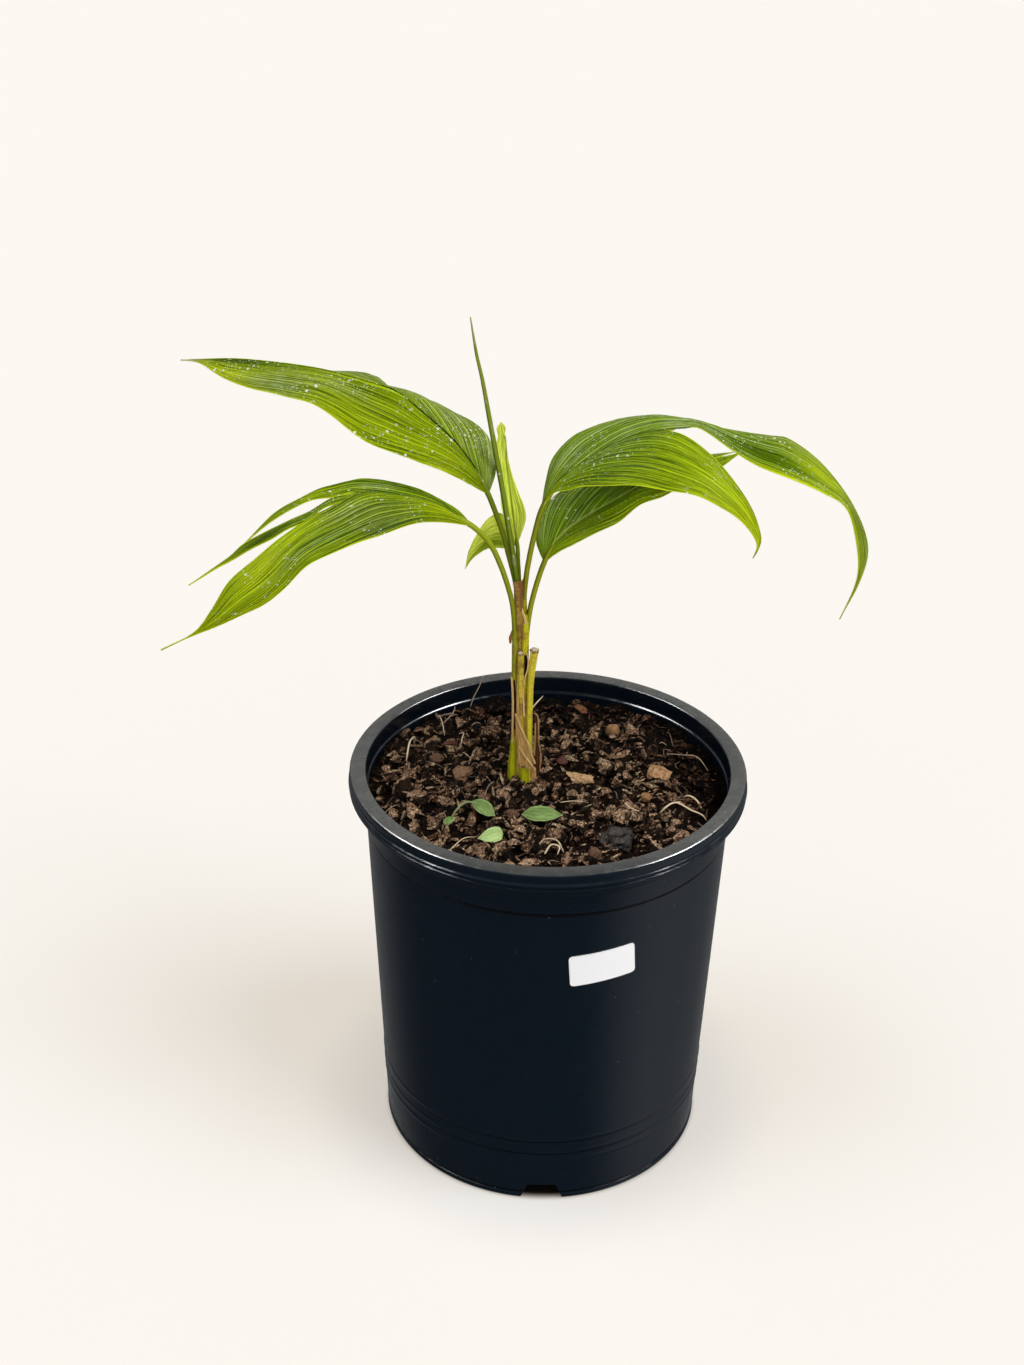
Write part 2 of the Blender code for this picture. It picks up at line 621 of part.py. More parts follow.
def build_label(collection, material):
    """A blank label bent round the wall, with rounded corners."""
    shape = bmesh.new()
    bmesh.ops.create_grid(shape, x_segments=LABEL_COLUMNS, y_segments=LABEL_ROWS, size=0.5)
    tilt = Matrix.Rotation(math.radians(LABEL_TILT), 2)
    for vert in shape.verts:
        height = vert.co.y * LABEL_HEIGHT
        into_corner = max(0.0, abs(height) - (LABEL_HEIGHT / 2 - LABEL_CORNER))
        inset = LABEL_CORNER - math.sqrt(max(0.0, LABEL_CORNER**2 - into_corner**2))
        flat = tilt @ Vector((vert.co.x * (LABEL_WIDTH - 2 * inset), height))
        z = LABEL_CENTRE_Z + flat.y
        radius = wall_radius(z) + GAP + LABEL_THICKNESS / 2
        angle = math.radians(LABEL_TURN) + flat.x / radius
        vert.co = Vector((radius * math.sin(angle), -radius * math.cos(angle), z)) * MM
    bmesh.ops.triangulate(shape, faces=shape.faces)
    label = mesh_object("label", shape, collection)
    solid = label.modifiers.new("thickness", "SOLIDIFY")
    solid.thickness = LABEL_THICKNESS * MM
    solid.offset = 0.0
    apply_modifiers(label)
    return dress(label, material)


def soil_height(x, y):
    """Height of the lumpy mix at a place: rounded clods, smaller crumbs and a slight dish."""
    clods = noise.voronoi(Vector((x / CLOD_SIZE, y / CLOD_SIZE, 3.0)))[0]
    crumbs = noise.voronoi(Vector((x / CRUMB_SIZE, y / CRUMB_SIZE, 8.0)))[0]
    dish = DISH_DEPTH * (1 - (x * x + y * y) / MOUTH_RADIUS**2)
    clod = CLOD_HEIGHT * (0.5 - min(1.0, clods[0]) ** 2)
    crumb = CRUMB_HEIGHT * (0.5 - min(1.0, crumbs[0]) ** 2)
    return SOIL_LEVEL - dish + clod + crumb


def build_soil(collection, material, tools):
    """The filling: a tapered plug inside the pot, its top cut lumpy, with holes for what stands in it."""
    bottom = FLOOR_TOP_Z + GAP
    top = SOIL_LEVEL + PLUG_RISE
    fit = WALL_THICKNESS + SOIL_FIT
    shape = bmesh.new()
    bmesh.ops.create_cone(shape, cap_ends=True, segments=POT_STEPS, radius1=(wall_radius(bottom) - fit) * MM,
                          radius2=(wall_radius(top) - fit) * MM, depth=(top - bottom) * MM)
    shape.transform(Matrix.Translation((0, 0, (top + bottom) / 2 * MM)))
    soil = mesh_object("soil", shape, collection)
    half = RIM_RADIUS
    cells = round(2 * half / SOIL_CELL)
    shape = bmesh.new()
    bmesh.ops.create_grid(shape, x_segments=cells, y_segments=cells, size=half * MM)
    for vert in shape.verts:
        vert.co.z = soil_height(vert.co.x / MM, vert.co.y / MM) * MM
    raised = bmesh.ops.extrude_face_region(shape, geom=shape.faces[:])["geom"]
    for vert in raised:
        if isinstance(vert, bmesh.types.BMVert):
            vert.co.z = (SOIL_LEVEL + SKY_RISE) * MM
    bmesh.ops.recalc_face_normals(shape, faces=shape.faces)
    sky = mesh_object("sky", shape, collection)
    join_or_cut(soil, [sky], "DIFFERENCE", "MANIFOLD")
    join_or_cut(soil, tools, "DIFFERENCE", "MANIFOLD")
    return dress(soil, material)


def chip_shape(chip, grow=0.0):
    """A rough lump of the chip's size, grown for a cutter, seated in the mix."""
    shape = bmesh.new()
    bmesh.ops.create_icosphere(shape, subdivisions=2 if max(chip.size) > LARGE_CHIP else 1, radius=0.5)
    seed = Vector((chip.x, chip.y, 1.0))
    for vert in shape.verts:
        rough = 1 + CHIP_ROUGHNESS * noise.noise(vert.co * CHIP_GRAIN + seed)
        vert.co = Vector((c * rough * (s + 2 * grow) for c, s in zip(vert.co, chip.size))) * MM
    height = soil_height(chip.x, chip.y) + chip.size[2] * (0.5 - CHIP_SINK)
    shape.transform(Matrix.Translation(Vector((chip.x, chip.y, height)) * MM)
                    @ Matrix.Rotation(math.radians(chip.turn), 4, "Z"))
    return shape


def build_weed(name, stalk, leaves, collection, material):
    """A weed seedling: a thin stalk with its small leaves, in one body."""
    made = tube(name, stalk, (WEED_STALK_RADIUS,) * 2, collection, WEED_STALK_COUNT)
    lobes = [blade(f"{name}_leaf", Lobe(one, other, rows=6, columns=2, arch=0.6), collection,
                   WEED_THICKNESS, pleat=0.0) for one, other in leaves]
    join_or_cut(made, lobes, "UNION", "MANIFOLD")
    return dress(made, material)


def build_stem(collection, material, tools):
    """The stem with the stubs of its oldest leaves, and a socket for each stalk."""
    stem = tube("stem", STEM_PATH, STEM_RADII, collection, STEM_COUNT, STEM_RESOLUTION)
    stubs = [tube("left_stub", LEFT_STUB_PATH, LEFT_STUB_RADII, collection, STUB_COUNT),
             tube("front_stub", FRONT_STUB_PATH, FRONT_STUB_RADII, collection, STUB_COUNT)]
    join_or_cut(stem, stubs, "UNION", "MANIFOLD")
    join_or_cut(stem, tools, "DIFFERENCE", "MANIFOLD")
    return dress(stem, material)


def stem_cutters(collection):
    """Each stalk a little thicker, to cut its socket in the stem."""
    stalks = [frond.stalk for frond in FRONDS.values()] + [SPEAR_PATH]
    radii = [frond.radii for frond in FRONDS.values()] + [SPEAR_RADII]
    stalks.append(CUT_STALK_PATH)
    radii.append(CUT_STALK_RADII)
    return [tube("socket", path, width, collection, STALK_COUNT, grow=GAP, extend=GAP)
            for path, width in zip(stalks, radii)]


def soil_cutters(collection):
    """What stands in the mix, a little thicker, to cut its hole."""
    standing = {
        "stem_hole": (STEM_PATH, STEM_RADII, STEM_COUNT, STEM_RESOLUTION),
        "cut_stalk_hole": (CUT_STALK_PATH, CUT_STALK_RADII, CUT_STALK_COUNT, STALK_RESOLUTION),
        "left_stub_hole": (LEFT_STUB_PATH, LEFT_STUB_RADII, STUB_COUNT, STALK_RESOLUTION),
        "front_stub_hole": (FRONT_STUB_PATH, FRONT_STUB_RADII, STUB_COUNT, STALK_RESOLUTION),
    }
    cutters = [tube(name, path, radii, collection, count, resolution, grow=GAP, extend=GAP)
               for name, (path, radii, count, resolution) in standing.items()]
    cutters.append(blade("strip_hole", DRY_STRIP, collection, DRY_THICKNESS + 2 * GAP, pleat=0.0))
    cutters += [tube(name, stalk, (WEED_STALK_RADIUS,) * 2, collection, WEED_STALK_COUNT,
                     grow=GAP, extend=GAP)
                for name, (stalk, leaves) in WEEDS.items()]
    cutters += [tube(name, path, (ROOT_RADIUS,) * 2, collection, ROOT_COUNT, ROOT_RESOLUTION,
                     grow=GAP, extend=GAP)
                for name, path in ROOTS.items()]
    cutters += [mesh_object(chip.name, chip_shape(chip, GAP), collection) for chip in CHIPS]
    return cutters


FRONDS = {
    "frond_upper_left": UPPER_LEFT,
    "frond_lower_left": LOWER_LEFT,
    "frond_upper_right": UPPER_RIGHT,
    "frond_lower_right": LOWER_RIGHT,
    "young_leaf": YOUNG_LEAF,
}


def build_palm():
    """Build every piece of the potted palm."""
    clear_scene()
    palm = make_collection("potted_palm")
    green = finish("leaf_green", (0.12, 0.28, 0.02), 0.4)
    pale = finish("young_leaf_green", (0.45, 0.55, 0.10), 0.45)
    stalk = finish("stem_yellow_green", (0.35, 0.33, 0.05), 0.5)
    dry = finish("dry_sheath", (0.25, 0.13, 0.06), 0.8)
    weed = finish("weed_green", (0.16, 0.34, 0.06), 0.5)
    root = finish("root_pale", (0.50, 0.40, 0.28), 0.8)
    build_pot(palm, finish("pot_navy", (0.012, 0.017, 0.024), 0.35))
    build_label(palm, finish("label_white", (0.85, 0.85, 0.85), 0.4))
    build_soil(palm, finish("potting_mix", (0.05, 0.03, 0.02), 0.95), soil_cutters(palm))
    build_stem(palm, stalk, stem_cutters(palm))
    for name, frond in FRONDS.items():
        build_frond(name, frond, palm, pale if name == "young_leaf" else green)
    dress(tube("spear_leaf", SPEAR_PATH, SPEAR_RADII, palm, STALK_COUNT), green)
    dress(tube("cut_stalk", CUT_STALK_PATH, CUT_STALK_RADII, palm, CUT_STALK_COUNT), stalk)
    dress(blade("dry_sheath", DRY_SHEATH, palm, DRY_THICKNESS, pleat=0.0), dry)
    dress(blade("dry_strip", DRY_STRIP, palm, DRY_THICKNESS, pleat=0.0), dry)
    for name, (path, leaves) in WEEDS.items():
        build_weed(name, path, leaves, palm, weed)
    for name, path in ROOTS.items():
        dress(tube(name, path, (ROOT_RADIUS,) * 2, palm, ROOT_COUNT, ROOT_RESOLUTION), root)
    for chip in CHIPS:
        dress(mesh_object(chip.name, chip_shape(chip), palm), finish(chip.name, chip.colour, 0.85))


build_palm()
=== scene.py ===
"""The looks of a young potted palm: pot, label, mix, stem, leaves, weeds and litter.

The origin is on the pot's axis at its underside, +Z is up and -Y is the front.
Sizes are millimetres, turned into metres as the meshes are made.
"""

import json
import logging
import math
from dataclasses import dataclass, field
from enum import Enum
from functools import cache
from typing import Callable, Iterable, Sequence

import bmesh
import bpy
import numpy as np
from mathutils import Matrix, Vector, noise

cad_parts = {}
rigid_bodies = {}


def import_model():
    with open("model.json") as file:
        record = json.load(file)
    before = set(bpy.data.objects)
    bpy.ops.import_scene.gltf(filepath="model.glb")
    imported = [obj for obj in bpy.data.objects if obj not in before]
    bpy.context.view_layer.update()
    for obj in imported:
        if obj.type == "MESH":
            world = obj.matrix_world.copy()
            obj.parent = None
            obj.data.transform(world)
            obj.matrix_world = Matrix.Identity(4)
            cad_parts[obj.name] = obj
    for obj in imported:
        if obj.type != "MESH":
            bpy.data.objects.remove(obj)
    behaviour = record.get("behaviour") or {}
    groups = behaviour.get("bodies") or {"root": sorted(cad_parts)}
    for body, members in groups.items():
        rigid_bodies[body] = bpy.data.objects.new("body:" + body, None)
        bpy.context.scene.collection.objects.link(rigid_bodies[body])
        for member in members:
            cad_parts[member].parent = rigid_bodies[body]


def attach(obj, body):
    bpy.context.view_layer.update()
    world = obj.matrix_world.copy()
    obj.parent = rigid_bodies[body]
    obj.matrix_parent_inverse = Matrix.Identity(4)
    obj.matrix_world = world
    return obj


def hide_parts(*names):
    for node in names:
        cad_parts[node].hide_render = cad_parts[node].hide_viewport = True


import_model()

LOG = logging.getLogger("potted_palm")
MM = 0.001
BODY = "root"

Point = tuple[float, float, float]
Rail = tuple[Point, ...]
Colour = tuple[float, float, float]
Fields = dict[str, np.ndarray]
Part = tuple[np.ndarray, list, Fields]
Object = bpy.types.Object
Socket = bpy.types.NodeSocket

Sockets = bpy.types.bpy_prop_collection

BLACK: Colour = (0.0, 0.0, 0.0)
WHITE: Colour = (1.0, 1.0, 1.0)
OUTWARD = (0, 1, 2, 3)
INWARD = (3, 2, 1, 0)
UPWARD = (0, 3, 2, 1)


class Slot(Enum):
    """The record's material slots."""

    POT = "pot_plastic"
    LABEL = "label_paper"
    MIX = "potting_mix"
    STEM = "stem_skin"
    LEAF = "leaf_green"
    YOUNG = "leaf_pale"
    SHEATH = "dry_sheath"
    WEED = "weed_green"
    ROOT = "root_pale"
    PEBBLE = "pebble"
    RED_BARK = "bark_red"
    TAN_BARK = "bark_tan"


class Op(Enum):
    """The sums that the materials use."""

    ADD = "ADD"
    SUBTRACT = "SUBTRACT"
    MULTIPLY = "MULTIPLY"
    MAXIMUM = "MAXIMUM"
    PINGPONG = "PINGPONG"
    ABSOLUTE = "ABSOLUTE"
    LESS = "LESS_THAN"


# Curves and lofted meshes


def smooth_path(points: Sequence[Point], count: int) -> np.ndarray:
    """Evenly spaced points on a Catmull-Rom curve.

    Args:
        points: The points that the curve passes through.
        count: How many points to return.

    Returns:
        An array of count points.
    """
    given = np.array(points, float)
    held = np.vstack([2 * given[0] - given[1], given, 2 * given[-1] - given[-2]])
    steps = np.linspace(0, 1, 16, endpoint=False)[:, None]
    fine = []
    for a, b, c, d in zip(held, held[1:], held[2:], held[3:]):
        fine.append(0.5 * (2 * b + (c - a) * steps + (2 * a - 5 * b + 4 * c - d) * steps**2
                           + (3 * b - a - 3 * c + d) * steps**3))
    fine = np.vstack([*fine, given[-1:]])
    length = np.concatenate([[0], np.cumsum(np.linalg.norm(np.diff(fine, axis=0), axis=1))])
    even = np.linspace(0, length[-1], count)
    return np.column_stack([np.interp(even, length, fine[:, k]) for k in range(3)])


def smooth_values(values: Sequence[float], count: int) -> np.ndarray:
    """Values spread evenly over the given count."""
    return np.interp(np.linspace(0, len(values) - 1, count), np.arange(len(values)), values)


def smoothstep(low: float, high: float, value: np.ndarray) -> np.ndarray:
    """A soft step from 0 at low to 1 at high."""
    share = np.clip((value - low) / (high - low), 0, 1)
    return share * share * (3 - 2 * share)


def unit(vectors: np.ndarray) -> np.ndarray:
    """Vectors scaled to length 1."""
    return vectors / np.maximum(np.linalg.norm(vectors, axis=-1, keepdims=True), 1e-12)


def around(count: int) -> np.ndarray:
    """Angles spread evenly over one turn."""
    return np.arange(count) * math.tau / count


def evened(rows: np.ndarray, reach: int) -> np.ndarray:
    """Rows averaged with their neighbours up to reach rows away."""
    padded = np.vstack([rows[:1].repeat(reach, 0), rows, rows[-1:].repeat(reach, 0)])
    return sum(padded[k:k + len(rows)] for k in range(2 * reach + 1)) / (2 * reach + 1)


def mesh_piece(name: str, points: np.ndarray, faces: Sequence, fields: Fields | None = None,
               crease: float = 50.0) -> Object:
    """An object from points and faces.

    Args:
        name: The piece's name.
        points: Its points in mm.
        faces: Its faces as lists of point numbers.
        fields: Numbers for the materials, one array for each name, with one number a point.
        crease: Edges sharper than this angle in degrees stay sharp.

    Returns:
        The new object, linked to the scene.
    """
    mesh = bpy.data.meshes.new(name)
    mesh.from_pydata(points * MM, [], faces)
    for label, values in (fields or {}).items():
        mesh.attributes.new(label, "FLOAT", "POINT").data.foreach_set("value", values.astype(np.float32))
    mesh.shade_smooth()
    mesh.set_sharp_from_angle(angle=math.radians(crease))
    made = bpy.data.objects.new(name, mesh)
    bpy.context.scene.collection.objects.link(made)
    return made


def ring_faces(rings: int, sides: int, order: tuple[int, ...] = OUTWARD) -> list[list[int]]:
    """Quads of a stack of rings, with a cap on its first and last ring.

    Args:
        rings: How many rings.
        sides: Points round each ring.
        order: The order of each face's corners, which says the way it looks and where it folds.

    Returns:
        The faces as lists of point numbers.
    """
    index = np.arange(rings * sides).reshape(rings, sides)
    right = np.roll(index, -1, axis=1)
    quads = np.stack([index[:-1], right[:-1], right[1:], index[1:]], axis=-1).reshape(-1, 4)
    first, last = index[0], index[-1]
    caps = [first[::-1], last] if order == OUTWARD else [first, last[::-1]]
    return quads[:, list(order)].tolist() + [cap.tolist() for cap in caps]


def sheet(name: str, grid: np.ndarray, thickness: float, fields: Fields) -> Object:
    """A closed thin sheet over a grid of points.

    Args:
        name: The piece's name.
        grid: Rows by columns of points in mm.
        thickness: Thickness in mm.
        fields: Rows by columns of numbers for the materials.

    Returns:
        The new object.
    """
    rows, columns = grid.shape[:2]
    half = unit(np.cross(np.gradient(grid, axis=0), np.gradient(grid, axis=1))) * thickness / 2
    points = np.concatenate([(grid + half).reshape(-1, 3), (grid - half).reshape(-1, 3)])
    back = rows * columns
    index = np.arange(back).reshape(rows, columns)
    corners = [index[:-1, :-1], index[1:, :-1], index[1:, 1:], index[:-1, 1:]]
    front = np.stack(corners, axis=-1).reshape(-1, 4)
    border = np.concatenate([index[0, :-1], index[:-1, -1], index[-1, :0:-1], index[:0:-1, 0]])
    following = np.roll(border, -1)
    rim = np.stack([border, following, following + back, border + back], axis=-1)
    faces = front.tolist() + (front[:, ::-1] + back).tolist() + rim.tolist()
    doubled = {label: np.tile(values.reshape(-1), 2) for label, values in fields.items()}
    return mesh_piece(name, points, faces, doubled)


def carried_frames(path: np.ndarray) -> tuple[np.ndarray, np.ndarray]:
    """Two unit vectors square to a path at each point, carried along it without twist.

    Args:
        path: Points of the path.

    Returns:
        The first and the second vector of each point.
    """
    tangent = unit(np.gradient(path, axis=0))
    side = np.cross(tangent[0], (0.0, 0.0, 1.0))
    if np.linalg.norm(side) < 0.2:
        side = np.cross(tangent[0], (0.0, 1.0, 0.0))
    sides = [side / np.linalg.norm(side)]
    for direction in tangent[1:]:
        carried = sides[-1] - direction * (sides[-1] @ direction)
        sides.append(carried / np.linalg.norm(carried))
    sides = np.array(sides)
    return sides, np.cross(tangent, sides)


def tube_parts(path: np.ndarray, radii: np.ndarray, sides: int, section: np.ndarray | None = None) -> Part:
    """Points, faces and fields of a closed tube.

    Args:
        path: Its centre line in mm.
        radii: Its radius at each point of the path.
        sides: Points round it.
        section: Factors on the radius, one for each point round it, or one for each point of the tube.

    Returns:
        The points, the faces, and the fields along and turn, both from 0 to 1.
    """
    first, second = carried_frames(path)
    angle = around(sides)
    count = len(path)
    reach = radii[:, None] * np.broadcast_to(1.0 if section is None else section, (count, sides))
    ring = first[:, None] * np.cos(angle)[None, :, None] + second[:, None] * np.sin(angle)[None, :, None]
    points = (path[:, None] + ring * reach[..., None]).reshape(-1, 3)
    along = np.repeat(np.linspace(0, 1, count), sides)
    turn = np.tile(np.abs(np.arange(sides) / sides * 2 - 1), count)
    return points, ring_faces(count, sides), {"along": along, "turn": turn}


def tube(name: str, path: Sequence[Point], radii: Sequence[float], count: int, sides: int = 20,
         section: np.ndarray | None = None) -> Object:
    """A closed tube along a smooth path, as tube_parts describes."""
    line, reach = smooth_path(path, count), smooth_values(radii, count)
    return mesh_piece(name, *tube_parts(line, reach, sides, section))


def joined(parts: Iterable[Part]) -> Part:
    """Several sets of points, faces and fields as one.

    Args:
        parts: The sets, all with the same fields.

    Returns:
        One set.
    """
    points, faces, fields, start = [], [], {}, 0
    for part_points, part_faces, part_fields in parts:
        points.append(part_points)
        faces += [[number + start for number in face] for face in part_faces]
        for label, values in part_fields.items():
            fields.setdefault(label, []).append(values)
        start += len(part_points)
    return np.concatenate(points), faces, {label: np.concatenate(sets) for label, sets in fields.items()}


def ball(subdivisions: int) -> tuple[np.ndarray, np.ndarray]:
    """Points and triangles of a round ball of radius 1."""
    shape = bmesh.new()
    bmesh.ops.create_icosphere(shape, subdivisions=subdivisions, radius=1.0)
    points = np.array([vert.co for vert in shape.verts])
    faces = np.array([[vert.index for vert in face.verts] for face in shape.faces])
    shape.free()
    return points, faces


def rough(points: np.ndarray, seed: float, coarse: float, depth: float, fine: float) -> np.ndarray:
    """A factor on the distance of each point from the centre, from coarse and fine noise.

    Args:
        points: Points of a unit shape.
        seed: Moves the noise, so that each shape differs.
        coarse: Lumps across the shape.
        depth: Height of the lumps as a share of the radius.
        fine: Height of the fine lumps as a share of the radius.

    Returns:
        One factor a point.
    """
    shift = Vector((seed, seed * 1.7, seed * 0.6))
    made = []
    for point in points:
        place = Vector(point) * coarse + shift
        made.append(1 + depth * noise.noise(place) + fine * noise.noise(place * 3.1)
                    + 0.6 * fine * noise.noise(place * 7.3))
    return np.array(made)


# Materials


class Graph:
    """A node tree with short ways to add and join nodes."""

    def __init__(self, tree: bpy.types.NodeTree) -> None:
        """Keep the tree."""
        self.tree = tree

    def node(self, kind: str, inputs: dict | None = None, **settings) -> bpy.types.Node:
        """Add a shader node.

        Args:
            kind: The node's type.
            inputs: Sockets or values for its inputs, by name or number.
            settings: The node's own settings.

        Returns:
            The new node.
        """
        made = self.tree.nodes.new("ShaderNode" + kind)
        for label, value in settings.items():
            setattr(made, label, value)
        for label, value in (inputs or {}).items():
            self.feed(made.inputs[label], value)
        return made

    def feed(self, socket: Socket, value) -> None:
        """Join a socket to another, or set its value."""
        if isinstance(value, Socket):
            self.tree.links.new(value, socket)
        elif isinstance(value, tuple) and socket.type == "RGBA":
            socket.default_value = (*value, 1.0)
        else:
            socket.default_value = value

    def sum(self, op: Op, first, second=0.0) -> Socket:
        """One sum on two numbers."""
        return self.node("Math", {0: first, 1: second}, operation=op.value).outputs[0]

    def times(self, first, second) -> Socket:
        """The product of two numbers."""
        return self.sum(Op.MULTIPLY, first, second)

    def plus(self, first, second) -> Socket:
        """Two numbers together."""
        return self.sum(Op.ADD, first, second)

    def total(self, *parts: tuple) -> Socket:
        """The sum of numbers, each given with its share."""
        made = self.times(*parts[0])
        for value, share in parts[1:]:
            made = self.plus(made, self.times(value, share))
        return made

    def mix(self, share, first, second) -> Socket:
        """A mix of two colours."""
        return self.node("Mix", {"Factor": share, 6: first, 7: second}, data_type="RGBA").outputs[2]

    def layered(self, base, *layers: tuple) -> Socket:
        """A colour with others laid over it in turn, each given after its mask."""
        for mask, colour in layers:
            base = self.mix(mask, base, colour)
        return base

    def remap(self, value, low: float, high: float, to_low: float = 0.0, to_high: float = 1.0) -> Socket:
        """A soft step of a number from one range to another."""
        inputs = {"Value": value, "From Min": low, "From Max": high, "To Min": to_low, "To Max": to_high}
        return self.node("MapRange", inputs, interpolation_type="SMOOTHSTEP").outputs[0]

    def field(self, name: str) -> Socket:
        """A number that the mesh holds at each point."""
        return self.node("Attribute", attribute_name=name).outputs["Fac"]

    def place(self) -> Socket:
        """The place on the piece in metres."""
        return self.node("TexCoord").outputs["Object"]

    def facing(self, way: Point) -> Socket:
        """How far the surface faces a way, 1 when straight at it."""
        return self.vector("DOT_PRODUCT", self.node("NewGeometry").outputs["Normal"], way, output=1)

    def vector(self, operation: str, first, second=BLACK, output: int = 0) -> Socket:
        """One sum on two vectors, or on one vector and a scale."""
        label = "Scale" if operation == "SCALE" else 1
        return self.node("VectorMath", {0: first, label: second}, operation=operation).outputs[output]

    def axis(self, vector, number: int) -> Socket:
        """One of the three numbers of a vector."""
        return self.node("SeparateXYZ", {0: vector}).outputs[number]

    def gathered(self, *numbers) -> Socket:
        """A vector of up to three numbers."""
        return self.node("CombineXYZ", dict(enumerate(numbers))).outputs[0]

    def noise(self, vector, scale: float, detail: float = 3.0, rough_share: float = 0.55,
              twist: float = 0.0) -> Socket:
        """Soft noise from 0 to 1."""
        inputs = {"Vector": vector, "Scale": scale, "Detail": detail, "Roughness": rough_share,
                  "Distortion": twist}
        return self.node("TexNoise", inputs).outputs[0]

    def group(self, effect: Callable[[], bpy.types.NodeTree], **inputs) -> Sockets:
        """Place a shared effect with its own values, and give its outputs."""
        return self.node("Group", inputs, node_tree=effect()).outputs

    def specks(self, cells: float, size: float, share: float) -> Socket:
        """The mask of the shared effect speckles."""
        return self.group(speckles, Cells=cells, Size=size, Share=share)[0]


def effect(outputs: str, **inputs: float) -> Callable:
    """Turn a function that fills a graph into one that gives its node group, built once.

    Args:
        outputs: The names of the group's outputs.
        inputs: Its inputs, with their usual values.

    Returns:
        The decorator.
    """

    def decorate(fill: Callable[[Graph, Sockets], tuple]) -> Callable:
        """Wrap the function that fills the group."""

        @cache
        def build() -> bpy.types.NodeTree:
            """The node group."""
            tree = bpy.data.node_groups.new(fill.__name__, "ShaderNodeTree")
            for label, value in inputs.items():
                socket = tree.interface.new_socket(label, in_out="INPUT", socket_type="NodeSocketFloat")
                socket.default_value = value
            for label in outputs.split():
                tree.interface.new_socket(label, in_out="OUTPUT", socket_type="NodeSocketFloat")
            start, end = tree.nodes.new("NodeGroupInput"), tree.nodes.new("NodeGroupOutput")
            for label, socket in zip(outputs.split(), fill(Graph(tree), start.outputs)):
                tree.links.new(socket, end.inputs[label])
            return tree

        return build

    return decorate


@effect("Mask", Cells=200.0, Size=0.2, Share=0.3)
def speckles(graph: Graph, given: Sockets) -> tuple[Socket, ...]:
    """Small round specks: dried water spots, pits or dust, some cells of a grid holding one."""
    inputs = {"Vector": graph.place(), "Scale": given["Cells"], "Randomness": 1.0}
    cells = graph.node("TexVoronoi", inputs).outputs
    wobble = graph.sum(Op.SUBTRACT, graph.noise(graph.place(), 900.0, 1.0), 0.5)
    distance = graph.plus(cells["Distance"], graph.times(wobble, 0.36))
    size = graph.times(given["Size"], graph.axis(cells["Color"], 1))
    inside = graph.remap(graph.sum(Op.SUBTRACT, size, distance), 0.0, 0.04)
    kept = graph.sum(Op.LESS, graph.axis(cells["Color"], 0), given["Share"])
    return (graph.times(inside, kept),)


@effect("Value Fine", Lengthwise=6.0, Round=14.0)
def streaks(graph: Graph, given: Sockets) -> tuple[Socket, ...]:
    """Long streaks that run with the fibres of a stalk, sheath or husk."""
    along = graph.times(graph.field("along"), given["Lengthwise"])
    drawn = graph.gathered(along, graph.times(graph.field("turn"), given["Round"]))
    return graph.remap(graph.noise(drawn, 1.0, 4.0, 0.6), 0.35, 0.65), graph.noise(drawn, 4.0, 2.0, 0.5)


@effect("Fine Blotch", Fineness=800.0)
def grains(graph: Graph, given: Sockets) -> tuple[Socket, ...]:
    """Fine even grain with a few larger blotches."""
    scaled = graph.vector("SCALE", graph.place(), given["Fineness"])
    return graph.noise(scaled, 1.0, 4.0, 0.7), graph.remap(graph.noise(scaled, 0.13, 3.0, 0.55), 0.35, 0.65)


@effect("Strong Fine Lines Band Thread", Finer=2.0)
def leaf_veins(graph: Graph, given: Sockets) -> tuple[Socket, ...]:
    """Strong veins, finer ones, uneven lines, broad bands and threads, all along the field vein.

    The field grows by 1 from one strong vein to the next.
    """
    vein, along = graph.field("vein"), graph.field("along")

    def drawn(lengthwise, crosswise, detail: float) -> Socket:
        """Noise drawn out along the veins."""
        place = graph.gathered(graph.times(along, lengthwise), graph.times(vein, crosswise))
        return graph.noise(place, 1.0, detail, 0.6)

    waver = graph.sum(Op.SUBTRACT, drawn(6.0, 0.9, 2.0), 0.5)
    bent = graph.plus(vein, graph.times(waver, 0.16))
    fine = graph.sum(Op.PINGPONG, graph.times(bent, given["Finer"]), 0.5)
    lines = drawn(3.0, graph.times(given["Finer"], 1.6), 2.0)
    return (graph.remap(graph.sum(Op.PINGPONG, bent, 0.5), 0.03, 0.15), graph.remap(fine, 0.0, 0.25),
            graph.remap(lines, 0.36, 0.64), graph.remap(drawn(2.2, 0.9, 3.0), 0.38, 0.62),
            graph.remap(drawn(5.0, 3.5, 3.0), 0.36, 0.64))


@effect("Clump Tone", Cells=500.0)
def clumps(graph: Graph, given: Sockets) -> tuple[Socket, ...]:
    """Cracked clumps: 0 in the cracks and 1 on the clumps, and a tone for each clump."""
    bend = graph.node("TexNoise", {"Vector": graph.place(), "Scale": 700.0, "Detail": 3.0})
    bent = graph.vector("ADD", graph.place(), graph.vector("SCALE", bend.outputs["Color"], 0.0022))
    inputs = {"Vector": bent, "Scale": given["Cells"]}
    edges = graph.node("TexVoronoi", inputs, feature="DISTANCE_TO_EDGE").outputs["Distance"]
    cells = graph.node("TexVoronoi", inputs).outputs["Color"]
    return graph.remap(edges, 0.0, 0.16), graph.axis(cells, 0)


